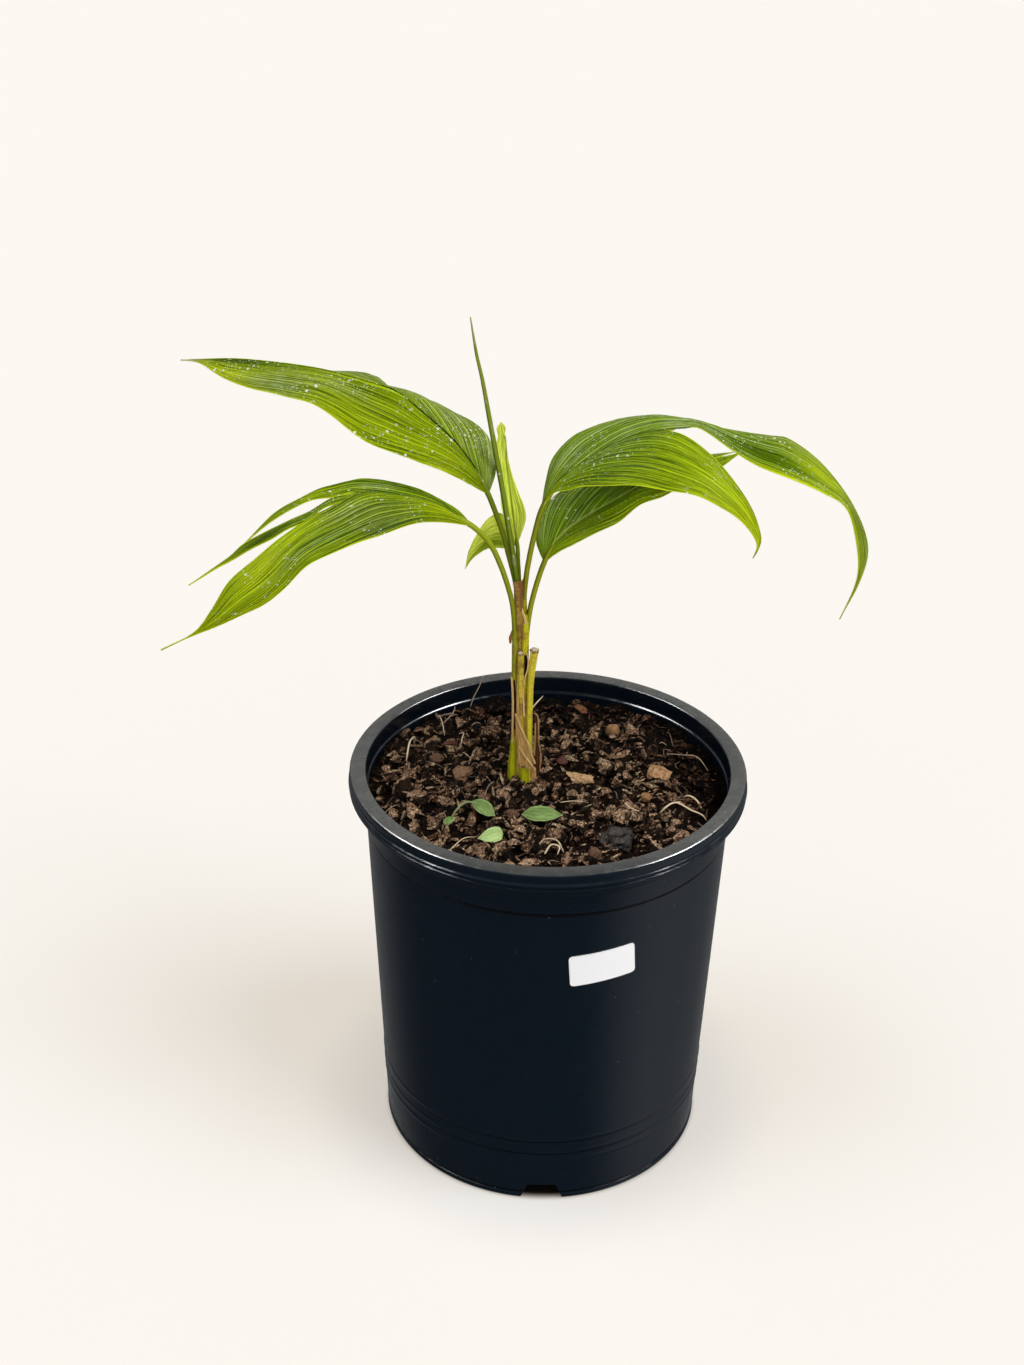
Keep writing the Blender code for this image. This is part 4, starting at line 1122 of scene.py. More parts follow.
@dataclass
class Mix:
    """The potting mix: a lumpy plug, with clods, crumbs, slivers and grit strewn over it."""

    pot: Pot
    level: float = 196.5
    clod_size: float = 17.0
    clod_height: float = 8.0
    crumb_size: float = 9.0
    crumb_height: float = 3.0
    dish: float = 1.5
    fit: float = 0.8
    rings: int = 100
    spokes: int = 340
    collar: int = 26
    kinds: tuple[Scatter, ...] = (
        Scatter("clods", 210, 6.5, 13, 3, 11, sink=0.08, planes=9),
        Scatter("crumbs", 560, 3.4, 7, 3, 12, sink=0.02, near=0.4, planes=8),
        Scatter(
            "slivers", 560, 4.5, 12, 2, 17, stretch=(0.12, 0.3), planes=5, near=0.3, sink=0, tilt=0.35,
            tone=0.7,
        ),
        Scatter("grit", 950, 1.3, 2.8, 2, 13, sink=0.15, planes=4, tone=0.42))

    def height(self, x: float, y: float) -> float:
        """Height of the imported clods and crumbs.

        Args:
            x: The place across in mm.
            y: The place in depth in mm.

        Returns:
            The height in mm.
        """
        clods = noise.voronoi(Vector((x / self.clod_size, y / self.clod_size, 3.0)))[0]
        crumbs = noise.voronoi(Vector((x / self.crumb_size, y / self.crumb_size, 8.0)))[0]
        dish = self.dish * (1 - (x * x + y * y) / self.pot.mouth_radius**2)
        clod = self.clod_height * (0.5 - min(1.0, clods[0])**2)
        crumb = self.crumb_height * (0.5 - min(1.0, crumbs[0])**2)
        return self.level - dish + clod + crumb

    def fine(self, x: float, y: float) -> tuple[float, float]:
        """Fine relief of the mix.

        Args:
            x: The place across in mm.
            y: The place in depth in mm.

        Returns:
            Extra height of the fine grit in mm, and how deep in a hollow the place is, from 0 to 1, which
            sets its painted shade.
        """
        grit = noise.voronoi(Vector((x / 4.6, y / 4.6, 1.0)))[0]
        dust = noise.voronoi(Vector((x / 2.3, y / 2.3, 5.0)))[0]
        wave = noise.noise(Vector((x / 3.1, y / 3.1, 2.0)))
        rise = 2.6 * (0.45 - min(1.0, grit[0])**2) + 1.0 * (0.4 - dust[0]) + 0.8 * wave
        hollow_shade = min(1.0, max(0.0, 1.25 - 2.2 * (grit[1] - grit[0]) - 0.5 * wave))
        return rise, hollow_shade

    def painted_rim_shade(self, x: float, y: float) -> float:
        """Factor on a crumb's tone: painted shade along the right and far sides, next to the rim."""
        right = float(smoothstep(48.0, 74.0, np.array(x + 0.25 * y)))
        far = float(smoothstep(52.0, 78.0, np.array(y)))
        return 1.0 - 0.88 * max(right, far)

    def surface(self) -> Object:
        """The plug with its fine top, closed down its side and over its foot."""
        top_radius = self.pot.wall_radius(self.level) - self.pot.wall - self.fit / 2
        radii = top_radius * np.linspace(0.004, 1, self.rings)**0.75
        angle = around(self.spokes)
        points, tone, hollow_shade = [], [], []
        for radius in radii:
            for turn in angle:
                x, y = radius * math.cos(turn), radius * math.sin(turn)
                rise, deep = self.fine(x, y)
                points.append((x, y, self.height(x, y) + rise))
                tone.append(self.painted_rim_shade(x, y) * (0.20 + 0.35 * noise.noise(Vector((x / 9, y / 9, 4.0)))))
                # Painted shade, strongest deep in the hollows.
                hollow_shade.append(0.35 + 0.65 * deep)
        foot = self.pot.wall_radius(self.pot.floor_top) - self.pot.wall - self.fit
        points += [(foot * math.cos(turn), foot * math.sin(turn), self.pot.floor_top + 0.5) for turn in angle]
        tone += [0.2] * self.spokes
        hollow_shade += [1.0] * self.spokes
        faces = ring_faces(self.rings + 1, self.spokes, UPWARD)
        fields = {"tone": np.array(tone), "hollow_shade": np.array(hollow_shade)}
        return mesh_piece("mix_surface", np.array(points), faces, fields, crease=180.0)

    def strewn(self, kind: Scatter) -> Object:
        """Loose crumbs of one kind over the mix.

        Args:
            kind: The kind.

        Returns:
            All of them as one piece.
        """
        draw = np.random.default_rng(kind.seed)
        points, faces = ball(kind.detail)
        shapes = []
        for number in range(14):
            cut = clipped(points, draw, kind.planes, kind.near)
            shapes.append(cut * rough(points, 5.0 * number + kind.seed, 1.6, 0.20, 0.14)[:, None])
        parts = []
        limit = self.pot.wall_radius(self.level) - self.pot.wall - 1.6
        for number in range(kind.count):
            size = kind.low + (kind.high - kind.low) * draw.random()**1.8
            radius, turn = (limit - size / 2) * math.sqrt(draw.random()), draw.random() * math.tau
            x, y = radius * math.cos(turn), radius * math.sin(turn)
            if kind.name == "crumbs" and number < self.collar:
                x, y = -13.0 + 5.5 * math.cos(turn) + 0.02 * radius, 2.5 + 5.0 * math.sin(turn)
            elif kind.detail > 2 and covers(x, y, size / 2):
                continue
            lean = Matrix.Rotation(draw.normal(0, kind.tilt), 3, (math.cos(turn * 7), math.sin(turn * 7), 0))
            spin = np.array(lean @ Matrix.Rotation(draw.random() * math.tau, 3, "Z"))
            least, most = kind.stretch
            stretch = np.array([1.0, *(least + (most - least) * draw.random(2))])
            shape = (shapes[number % len(shapes)] * stretch) @ spin.T * size / 2
            raised = size * min(1.0, stretch[2] * 1.5) * (0.36 - kind.sink)
            z = self.height(x, y) + self.fine(x, y)[0] + raised
            tone = float(np.clip(draw.normal(kind.tone, 0.26), 0, 1.3)) * self.painted_rim_shade(x, y)
            # Painted shade on the lower side of each crumb.
            underside_shade = np.clip(-shape[:, 2] / size * 2.2 + 0.1, 0, 1)
            fields = {"tone": np.full(len(shape), tone), "hollow_shade": underside_shade * 0.95}
            parts.append((shape + (x, y, z), faces.tolist(), fields))
        return mesh_piece(kind.name, *joined(parts), crease=30.0)

    def build(self) -> None:
        """The plug and its loose crumbs."""
        finish = MixFinish("potting_mix_crumbly")
        shreds = MixFinish("potting_mix_shreds", middle=(0.52, 0.28, 0.15), light=(0.98, 0.70, 0.43),
                           red=(0.38, 0.12, 0.06))
        dress(self.surface(), finish, ["soil"])
        for kind in self.kinds:
            dress(self.strewn(kind), shreds if kind.name == "slivers" else finish)


@dataclass(frozen=True)
class Chip:
    """A loose bark chip or pebble: its place, size and turn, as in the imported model."""

    name: str
    x: float
    y: float
    size: Point
    turn: float
    finish: BarkFinish
    slot: Slot
    depth: float = 0.25
    planes: int = 0
    lean: float = 0.0
    rise: float = 0.6


TAN = BarkFinish("bark_tan", (0.56, 0.33, 0.165), (0.2, 0.095, 0.042))
HUSK = BarkFinish("bark_husk", (0.8, 0.56, 0.31), (0.34, 0.18, 0.075))
TAN_PEBBLE = BarkFinish("pebble_tan", (0.42, 0.235, 0.095), (0.2, 0.1, 0.04), fineness=420)
BROWN = BarkFinish("bark_brown", (0.2, 0.105, 0.06), (0.055, 0.026, 0.015))
RED = BarkFinish("bark_red", (0.17, 0.05, 0.03), (0.045, 0.013, 0.01), roughness=0.6)
ORANGE = BarkFinish("bark_orange", (0.32, 0.13, 0.05), (0.1, 0.04, 0.018))
DARK = BarkFinish("clod_dark", (0.095, 0.08, 0.07), (0.005, 0.004, 0.0036), fineness=520)

CHIPS = (
    Chip("pebble_tan", 35, 55, (8, 7.5, 7), 20, TAN_PEBBLE, Slot.PEBBLE, depth=0.12, rise=1.6),
    Chip(
        "chip_tan_flat", 57, 9, (13, 11.5, 4.5), 30, TAN, Slot.TAN_BARK, depth=0.22, planes=4, lean=24,
        rise=2.2,
    ),
    Chip("husk_tan", 16, 8, (15, 6.5, 3.4), -12, HUSK, Slot.TAN_BARK, depth=0.45, planes=3, lean=20, rise=2),
    Chip("pebble_small", 49, -11, (5.5, 5, 5), 0, TAN_PEBBLE, Slot.PEBBLE, depth=0.15, rise=1.6),
    Chip("chip_red", 8, 24, (7, 5, 4), 40, RED, Slot.RED_BARK, planes=5, rise=1.6),
    Chip("shard_orange", 18, 72, (10, 4.5, 3.4), -38, ORANGE, Slot.RED_BARK, depth=0.35, planes=4, rise=1.8),
    Chip("clod_dark", 33, -48, (17, 15, 12), 15, DARK, Slot.MIX, depth=0.3, planes=3),
    Chip("pebble_brown", 22, -60, (7.5, 7, 6.5), 70, BROWN, Slot.PEBBLE, depth=0.2, planes=3, rise=1.4),
    Chip(
        "chip_left_tan", -43, 12, (11, 9, 5), 60,
        BarkFinish("bark_pale", (0.36, 0.2, 0.105), (0.12, 0.06, 0.03)), Slot.TAN_BARK, planes=4, lean=24,
        rise=1.8,
    ),
    Chip("chip_left_brown", -57, 24, (9, 7, 5), -35, BROWN, Slot.TAN_BARK, planes=3, rise=1.6),
    Chip("chip_far_red", -50, 38, (8.5, 5, 4), 15, RED, Slot.RED_BARK, planes=4, rise=1.8),
    Chip("chip_front_red", -18, -30, (7.5, 6, 5), 0, BROWN, Slot.RED_BARK, planes=5, lean=20, rise=1.6))


ROOTS: dict[str, Rail] = {
    "root_right": (
        (54, -24, 194), (57, -25, 201), (63, -22, 203), (70, -27, 202), (76, -29, 200), (80, -30, 194)),
    "root_back_right": ((66, -10, 194), (69, -14, 202), (74, -19, 202), (78, -22, 194)),
    "root_left": ((-70, 42, 194), (-69, 40, 202), (-71, 32, 204), (-72, 24, 201), (-73, 20, 194)),
    "root_far_left": ((-56, 60, 193), (-56, 59, 203), (-52, 56, 207), (-47, 52, 209)),
}


@dataclass
class Litter:
    """Chips, pebbles, roots and fibres on the mix."""

    mix: Mix
    sink: float = 0.45
    root_radius: float = 0.5
    fibre_count: int = 110
    fibre_limit: float = 87
    strays: tuple[tuple[Rail, float, float], ...] = (
        (((-56, 56, 200), (-50, 62, 204), (-49.7, 79, 200), (-56, 76, 207), (-61, 74, 211)), 0.45, 0.45),
        (((-41, 80, 198), (-39, 81, 204), (-36, 82, 210), (-34, 83, 216)), 0.4, 0.3),
        (((-8.7, 73.6, 200), (-5, 78, 202.5), (-1.7, 82.6, 204)), 0.55, 0),
        (((-46, 46, 201), (-43.5, 42, 204), (-44, 36, 204.5), (-45, 32, 201)), 0.42, 0.1),
        (((-57, 62, 203), (-55, 53, 203.5), (-53.5, 44, 201)), 0.4, 0.2),
        (((6, -20, 201), (13, -21, 202.5), (20, -20, 201)), 0.32, 0.05),
        (((-6, -62, 201), (-2, -58, 204), (4, -60, 204.5), (7, -66, 202)), 0.6, 0.35),
        (((-2, -66, 201), (1, -62, 203.5), (5, -63, 203), (4, -67, 201.5)), 0.6, 0.15),
        (((40, -20, 201), (38, -24, 203.5), (41, -28, 203), (45, -27, 201)), 0.5, 0.1),
        (((62, 30, 200), (70, 24, 203), (77, 22, 203), (82, 14, 200)), 0.35, 0.35),
        (((-78, -8, 200), (-70, -16, 203), (-62, -14, 202)), 0.6, 0.5),
        (((-47, -62, 200), (-41, -57, 203), (-35, -55, 203)), 0.35, 0.15))

    def chip(self, chip: Chip, points: np.ndarray, faces: np.ndarray) -> Object:
        """One named chip, seated in the mix.

        Args:
            chip: The chip.
            points: Points of a ball of radius 1.
            faces: The ball's triangles.

        Returns:
            The dressed piece.
        """
        draw = np.random.default_rng(int(chip.x * 7 + chip.y * 13) % 1000)
        cut = clipped(points, draw, chip.planes, 0.55)
        factor = rough(points, chip.x + chip.y, 1.7, chip.depth, chip.depth * 0.5)
        shape = cut * factor[:, None] * np.array(chip.size) / 2
        lean = Matrix.Rotation(math.radians(chip.lean), 3, "X")
        spin = np.array(lean @ Matrix.Rotation(math.radians(chip.turn), 3, "Z"))
        rise = self.mix.height(chip.x, chip.y) + chip.size[2] * (0.5 - self.sink) + chip.rise
        made = mesh_piece(chip.name, shape @ spin.T + (chip.x, chip.y, rise), faces.tolist(), crease=35.0)
        return dress(made, chip.finish, [chip.name])

    def strand(self, path: Rail, radius: float, tone: float, count: int = 28, sides: int = 8) -> Part:
        """One root or fibre, thinner to its end.

        Args:
            path: Its line in mm.
            radius: Its radius in mm.
            tone: How brown it is, from 0 to 1.
            count: Points along it.
            sides: Points round it.

        Returns:
            Its points, faces and fields.
        """
        line = smooth_path(path, count)
        radii = radius * np.interp(np.linspace(0, 1, count), (0, 0.1, 0.7, 1), (0.7, 1, 0.9, 0.35))
        points, faces, _ = tube_parts(line, radii, sides)
        return points, faces, {"tone": np.full(len(points), tone)}

    def fibres(self) -> Object:
        """Thin dead fibres and rootlets strewn over the mix, and the ones that stand out in the photo."""
        draw = np.random.default_rng(31)
        parts = [self.strand(path, radius * 0.75, tone + 0.15) for path, radius, tone in self.strays]
        for _ in range(self.fibre_count):
            radius, turn = 84 * math.sqrt(draw.random()), draw.random() * math.tau
            x, y = radius * math.cos(turn), radius * math.sin(turn)
            heading, length = draw.random() * math.tau, 4 + 9 * draw.random()**2
            lift = 0.4 + 2.0 * draw.random()**3
            path = []
            for share in (-0.5, -0.2, 0.15, 0.5):
                heading += draw.normal(0, 0.12)
                px = x + share * length * math.cos(heading)
                py = y + share * length * math.sin(heading)
                far = math.hypot(px, py)
                if far > self.fibre_limit:
                    px, py = px * self.fibre_limit / far, py * self.fibre_limit / far
                rise = lift * (1 - (2 * share)**2) + 1.4
                path.append((px, py, self.mix.height(px, py) + rise))
            tone = 0.4 + 0.7 * draw.random()
            parts.append(self.strand(tuple(path), 0.10 + 0.13 * draw.random(), tone, 12, 5))
        return mesh_piece("fibres", *joined(parts))

    def build(self) -> None:
        """Every chip, root and fibre."""
        points, faces = ball(4)
        for chip in CHIPS:
            self.chip(chip, points, faces)
        pale = RootFinish("root_pale")
        for name, path in ROOTS.items():
            tone = 0.75 if name == "root_far_left" else 0.12
            made = mesh_piece(name, *self.strand(path, self.root_radius, tone, 40, 12))
            dress(made, pale, [name])
        dress(self.fibres(), pale)


# Leaves


@dataclass(frozen=True)
class Patch:
    """A soft patch of tone on a lobe: its middle and reach along and across, and what it adds there."""

    step: float
    share: float
    long: float
    wide: float
    lime: float = 0.0
    # Added painted sheen, painted shade and dryness.
    painted_sheen: float = 0.0
    shade: float = 0.0
    dry: float = 0.0

    def weight(self, step: np.ndarray, share: np.ndarray) -> np.ndarray:
        """How strongly each place of the lobe lies in the patch, from 0 to 1."""
        return np.exp(-((step - self.step) / self.long)**2 - ((share - self.share) / self.wide)**2)


@dataclass(frozen=True)
class Lobe:
    """One side or strip of a leaf between two rails, with its veins and tones.

    The veins leave the midrib for the first rib_share of the inner rail and run to the tip.
    Lime and the painted sheen give the tone at the base, what the tip adds and what the outer edge adds.
    """

    inner: Rail
    outer: Rail
    arch: float
    veins: float = 12.0
    sweep: float = 7.0
    rib_share: float = 0.4
    lime: Point = (0.10, 0.35, 0.15)
    painted_sheen: Point = (0.05, 0.0, 0.05)
    ruffle: float = 0.5
    pleats: float = 1.0
    patches: tuple[Patch, ...] = ()


@dataclass(frozen=True)
class Blade:
    """How a lobe becomes a fine pleated sheet; facing is the side that arches out."""

    rows: int = 90
    columns_each_vein: int = 4
    thickness: float = 0.35
    narrowest: float = 0.5
    pleat: float = 0.45
    wave: float = 0.35
    facing: Point = (0.0, 0.0, 1.0)

    def grid(self, lobe: Lobe) -> tuple[np.ndarray, Fields]:
        """Points and fields of one lobe.

        Args:
            lobe: The lobe.

        Returns:
            Rows by columns of points in mm, and the fields that the finishes read.
        """
        columns = int(lobe.veins * self.columns_each_vein)
        inner, outer = smooth_path(lobe.inner, self.rows + 1), smooth_path(lobe.outer, self.rows + 1)
        span = outer - inner
        width = np.linalg.norm(span, axis=1)
        wide = np.flatnonzero(width > 0.12 * width.max())
        nearest = wide[np.abs(np.arange(len(width))[:, None] - wide[None, :]).argmin(axis=1)]
        across = unit(evened(unit(span[nearest]), 3))
        along = evened(np.gradient(inner + outer, axis=0), 2)
        normal = unit(evened(unit(np.cross(along, across)), 4))
        if (normal @ np.array(self.facing)).mean() < 0:
            normal = -normal
        extra = np.maximum(0.0, self.narrowest - width)
        inner = inner - across * extra[:, None] / 2
        span = span + across * extra[:, None]
        width = np.linalg.norm(span, axis=1)
        share = np.linspace(0, 1, columns + 1)[None, :]
        step = np.linspace(0, 1, self.rows + 1)[:, None]
        full = (width / width.max())[:, None]
        reach = lobe.rib_share * (1 - np.exp(-step / lobe.rib_share)) / (1 - math.exp(-1 / lobe.rib_share))
        vein = lobe.veins * share - lobe.sweep * reach
        vein = vein + 0.22 * np.sin(1.9 * vein + 1.0) + 0.12 * np.sin(4.3 * vein)
        number = np.floor(vein)
        fold = np.abs(2 * (vein - number) - 1)
        fold = fold * fold * (3 - 2 * fold)
        uneven = np.modf(np.abs(np.sin(number * 12.9 + 4.0)) * 43.7)[0]
        inset = smoothstep(0.0, 0.08, share) * (0.35 + 0.65 * (1 - smoothstep(0.9, 1.0, share)))
        lift = lobe.arch * np.sin(math.pi * share) * full
        pleats = self.pleat * lobe.pleats * (0.35 + 0.95 * uneven) * (0.75 - fold) * inset * np.sqrt(full)
        lift = lift + pleats
        lift = lift + self.wave * np.sin(vein * 1.1 + step * 9.0) * np.sin(math.pi * share) * full
        lift = lift + lobe.ruffle * np.sin(step * 31.0) * share**3 * full
        grid = inner[:, None] + span[:, None] * share[..., None] + normal[:, None] * lift[..., None]
        on_rib = step < lobe.rib_share
        from_inner, from_outer = share * width[:, None], (1 - share) * width[:, None]
        tip = smoothstep(0.35, 1.0, step)
        fields = {
            "vein": vein,
            "turn": vein / 5,
            "along": step + 0 * share,
            "rib": np.where(on_rib, from_inner, 9.0),
            "edge": np.where(on_rib, from_outer, np.minimum(from_inner, from_outer)),
        }
        for tone, base in (("lime", lobe.lime), ("painted_sheen", lobe.painted_sheen), ("shade", BLACK), ("dry", BLACK)):
            added = sum(getattr(patch, tone) * patch.weight(step, share) for patch in lobe.patches)
            fields[tone] = np.clip(base[0] + base[1] * tip + base[2] * share + added, 0, 1)
        return grid, fields

    def piece(self, name: str, lobe: Lobe) -> Object:
        """One lobe as a closed thin piece."""
        grid, fields = self.grid(lobe)
        return sheet(name, grid, self.thickness, fields)


@dataclass(frozen=True)
class Leaf:
    """A leaf: its stalk, the radius at each point of it, where its midrib starts, and its lobes."""

    name: str
    stalk: Rail
    radii: tuple[float, ...]
    rib_from: float
    lobes: tuple[Lobe, ...]

    def stalk_piece(self, finish: StalkFinish) -> Object:
        """The stalk, which sinks under the blade as it becomes the midrib.

        Args:
            finish: Its finish.

        Returns:
            The dressed piece.
        """
        count = 110
        path = smooth_path(self.stalk, count)
        step = np.linspace(0, 1, count)
        radii = smooth_values(self.radii, count)
        path[:, 2] -= radii * 1.3 * smoothstep(self.rib_from, self.rib_from + 0.12, step)
        angle = around(24)
        groove = 1 - 0.10 * np.cos(angle * 2) - 0.06 * np.cos(angle * 5)
        made = mesh_piece(self.name + "_stalk", *tube_parts(path, radii, 24, groove))
        return dress(made, finish)

    def build(self, blade: Blade, finish: BladeFinish, stalk: StalkFinish, slot: Slot) -> None:
        """The stalk and every lobe of the leaf."""
        self.stalk_piece(stalk)
        for number, lobe in enumerate(self.lobes):
            dress(blade.piece(f"{self.name}_lobe_{number + 1}", lobe), finish, [self.name])


UPPER_LEFT_RIB = ((-31, 16, 350), (-38, 19, 363), (-49, 23, 376), (-62, 28, 386), (-76, 34, 395))
LOWER_LEFT_RIB = ((-38, -3, 342), (-55, -11, 357), (-74, -20, 365), (-88, -27, 369))
UPPER_RIGHT_RIB = ((-6, 7, 346), (-1, 6, 358), (6, 4, 366), (16, 2, 375), (30, -1, 385), (44, -4, 391))
LOWER_RIGHT_RIB = ((-4, 11, 317), (-1, 12, 324), (6, 15, 332), (18, 18, 340), (31, 23, 346), (41, 26, 351))
YOUNG_MIDLINE = (
    (-17, 18, 323), (-19, 21, 335), (-21, 24, 349), (-23, 25, 363), (-23, 25, 373), (-25.4, 25, 383))

UPPER_LEFT = Leaf(
    "frond_upper_left",
    stalk=(
        (-16.6, 11.6, 289), (-17.4, 12.2, 303), (-18.9, 12.8, 311), (-21.2, 13.8, 320),
        (-24.1, 14.8, 331)) + UPPER_LEFT_RIB + (
        (-85, 38, 397),),
    radii=(1, 1.2, 1.35, 1.35, 1.35, 1.35, 1.3, 1.1, 0.9, 0.7, 0.4), rib_from=0.43,
    lobes=(
        Lobe(
            UPPER_LEFT_RIB + (
                (-100, 44, 399), (-124, 51, 401), (-152, 58, 401), (-172, 65, 398), (-182, 69, 396)),
            (
                (-31, 16, 350), (-37, 12, 355), (-52, 8, 365), (-71, 8, 372), (-91, 13, 379), (-112, 23, 391),
                (-128, 29, 393), (-143, 38, 393), (-159, 50, 394), (-172, 62, 397), (-182, 69, 396)),
            arch=3, veins=18, sweep=22, rib_share=0.42, lime=(0.12, 0.05, 0.35), painted_sheen=(0, 0, 0),
            patches=(
                Patch(1, 0.5, 0.05, 3, dry=0.95),
                Patch(0.66, 0.75, 0.09, 0.22, lime=-0.3, painted_sheen=0.75, shade=0.4),
                Patch(0.55, 0.45, 0.12, 0.2, painted_sheen=0.4), Patch(0.8, 0.1, 0.16, 0.2, lime=-0.2, shade=0.75),
                Patch(0.84, 0.85, 0.08, 0.4, lime=0.4), Patch(0.45, 0.35, 0.1, 0.25, shade=0.35)),
        ),
        Lobe(
            UPPER_LEFT_RIB + (
                (-88, 40, 396), (-100, 48, 396), (-118, 60, 394), (-137, 72, 392), (-153, 82, 389)),
            (
                (-31, 16, 350), (-28, 24, 357), (-28, 34, 362), (-33.5, 45, 370.1), (-50.9, 60, 376),
                (-63.6, 66, 376.9), (-72.2, 69, 378.4), (-78.3, 71, 380), (-80.9, 74, 382),
                (-85.2, 76.5, 384.8), (-91.8, 79, 385.7), (-130, 85, 385), (-153, 82, 389)),
            arch=2, veins=14, sweep=42, rib_share=0.55, lime=(0.08, 0.05, 0), painted_sheen=(0.12, 0.1, 0.75),
            pleats=0,
            patches=(Patch(0.85, 0.4, 0.2, 0.5, shade=0.35), Patch(0.54, 0.9, 0.05, 0.3, shade=0.5)),
        )),
)

LOWER_LEFT = Leaf(
    "frond_lower_left",
    stalk=(
        (-17.6, 5.8, 280), (-18.8, 5, 296), (-21, 3.6, 307), (-25, 2.4, 320),
        (-30, 0.8, 331.5)) + LOWER_LEFT_RIB + (
        (-96, -31, 369),),
    radii=(1.1, 1.3, 1.35, 1.4, 1.4, 1.35, 1.2, 0.9, 0.7, 0.4), rib_from=0.48,
    lobes=(
        Lobe(
            LOWER_LEFT_RIB + ((-99, -31, 368), (-111, -34, 367), (-126, -39, 360), (-139, -45, 351)),
            (
                (-38, -3, 342), (-46, 1, 349), (-58, 3, 355), (-73, 2, 361), (-83, -1, 364), (-98, -9, 366),
                (-112, -21, 365), (-126, -33, 361), (-139, -45, 351)),
            arch=1.5, veins=8, sweep=6, rib_share=0.55, lime=(0, 0.18, 0), painted_sheen=(0, 0.05, 0),
            patches=(Patch(0.36, 0.5, 0.22, 0.6, shade=0.45), Patch(0.45, 0.3, 0.08, 0.2, painted_sheen=0.5)),
        ),
        Lobe(
            (
                (-85, -26, 368), (-99, -33, 369), (-110, -38, 364), (-120, -43, 361), (-137, -52, 355),
                (-145, -56, 349), (-162, -64, 339)),
            (
                (-85, -26, 368), (-101, -39, 367), (-110, -45, 363), (-123, -51, 358), (-131, -53, 354),
                (-145, -59, 348), (-162, -64, 339)),
            arch=0.5, veins=4, sweep=1, rib_share=0.02, lime=(0, 0.15, 0.1), painted_sheen=(0.06, -0.06, 0),
            patches=(Patch(0.55, 0.5, 0.3, 1, shade=0.75),),
        ),
        Lobe(
            LOWER_LEFT_RIB + (
                (-101, -38, 366), (-111, -46, 363), (-122, -57, 359), (-132, -63, 352), (-143, -69, 344),
                (-151, -73, 332), (-159, -76, 322), (-173, -82, 316)),
            (
                (-38, -3, 342), (-52, -19, 351), (-62, -32, 356), (-80, -49, 357), (-94, -59, 355),
                (-108, -68, 352), (-118, -71, 342), (-127, -73, 335), (-137, -74, 330), (-149, -74, 324),
                (-161, -77, 320), (-173, -82, 316)),
            arch=3, veins=15, sweep=11, rib_share=0.42, lime=(0.1, 0.32, 0.05), painted_sheen=(0.03, -0.03, 0),
            patches=(
                Patch(0.08, 0.2, 0.1, 0.8, lime=0.5, painted_sheen=-0.3),
                Patch(0.42, 0.35, 0.06, 0.25, painted_sheen=0.35, shade=0.25),
                Patch(0.52, 0.65, 0.1, 0.14, painted_sheen=0.55, lime=-0.2),
                Patch(0.33, 0.8, 0.12, 0.4, painted_sheen=0.15, shade=0.5), Patch(0.62, 0.25, 0.12, 0.2, lime=0.35)),
        )),
)

UPPER_RIGHT = Leaf(
    "frond_upper_right",
    stalk=(
        (-13.4, 11, 283), (-13.3, 10.8, 297), (-12.6, 10.4, 309), (-11.2, 9.6, 320),
        (-9.1, 8.6, 332)) + UPPER_RIGHT_RIB + (
        (54, -5, 393),),
    radii=(1, 1.2, 1.4, 1.4, 1.4, 1.4, 1.35, 1.2, 1, 0.8, 0.6, 0.4), rib_from=0.42,
    lobes=(
        Lobe(
            UPPER_RIGHT_RIB + (
                (57, -10, 392), (71, -17, 384), (82, -24, 373), (89, -29, 363), (93, -32, 352),
                (92, -34, 346), (90, -34, 342)),
            (
                (-6, 7, 346), (-1, -1, 358), (6, -10, 364), (19, -23, 372), (36, -33, 376), (49, -39, 377),
                (63, -42, 375), (77, -42, 368), (86, -40, 359), (91, -37, 350), (90, -34, 342)),
            arch=3.5, veins=18, sweep=14, rib_share=0.5, lime=(0.04, 0.7, 0.12), painted_sheen=(0.03, -0.03, 0),
            patches=(
                Patch(0.05, 0.4, 0.08, 1, lime=0.35), Patch(0.36, 0.35, 0.16, 0.5, shade=0.35),
                Patch(0.3, 0.2, 0.12, 0.3, painted_sheen=0.3)),
        ),
        Lobe(
            UPPER_RIGHT_RIB + (
                (58, -5, 393), (66, -3, 392), (81, -4, 382), (93, -5, 375), (109, -9, 370), (122, -11, 365),
                (134, -14, 358), (140, -16, 340), (141, -18, 324), (135, -19, 304)),
            (
                (-6, 7, 346), (-4, 14, 357), (-1, 22, 366), (6, 29, 373), (15, 33, 377), (31, 35, 381),
                (47, 35, 383), (64, 32, 380), (78, 28, 380), (90, 24, 380), (102, 21, 380), (110, 16, 380),
                (125, 6, 371), (138, -5, 357), (145.5, -14, 340), (143, -18, 324), (135, -19, 304)),
            arch=3, veins=17, sweep=25, rib_share=0.38, lime=(0, 0.5, 0), painted_sheen=(0.38, -0.25, 0.15),
            patches=(
                Patch(0.54, 0.3, 0.1, 0.17, shade=1, painted_sheen=-0.6, lime=-0.6),
                Patch(0.6, 0, 0.12, 0.09, lime=0.9, painted_sheen=-0.5),
                Patch(0.67, 0.55, 0.07, 0.35, lime=0.4, painted_sheen=-0.3), Patch(0.4, 0.5, 0.06, 1, painted_sheen=0.3),
                Patch(0.8, 0.75, 0.08, 0.5, shade=0.6), Patch(0.82, 0.1, 0.08, 0.3, lime=0.5),
                Patch(1, 0.5, 0.05, 3, dry=0.5)),
        )),
)

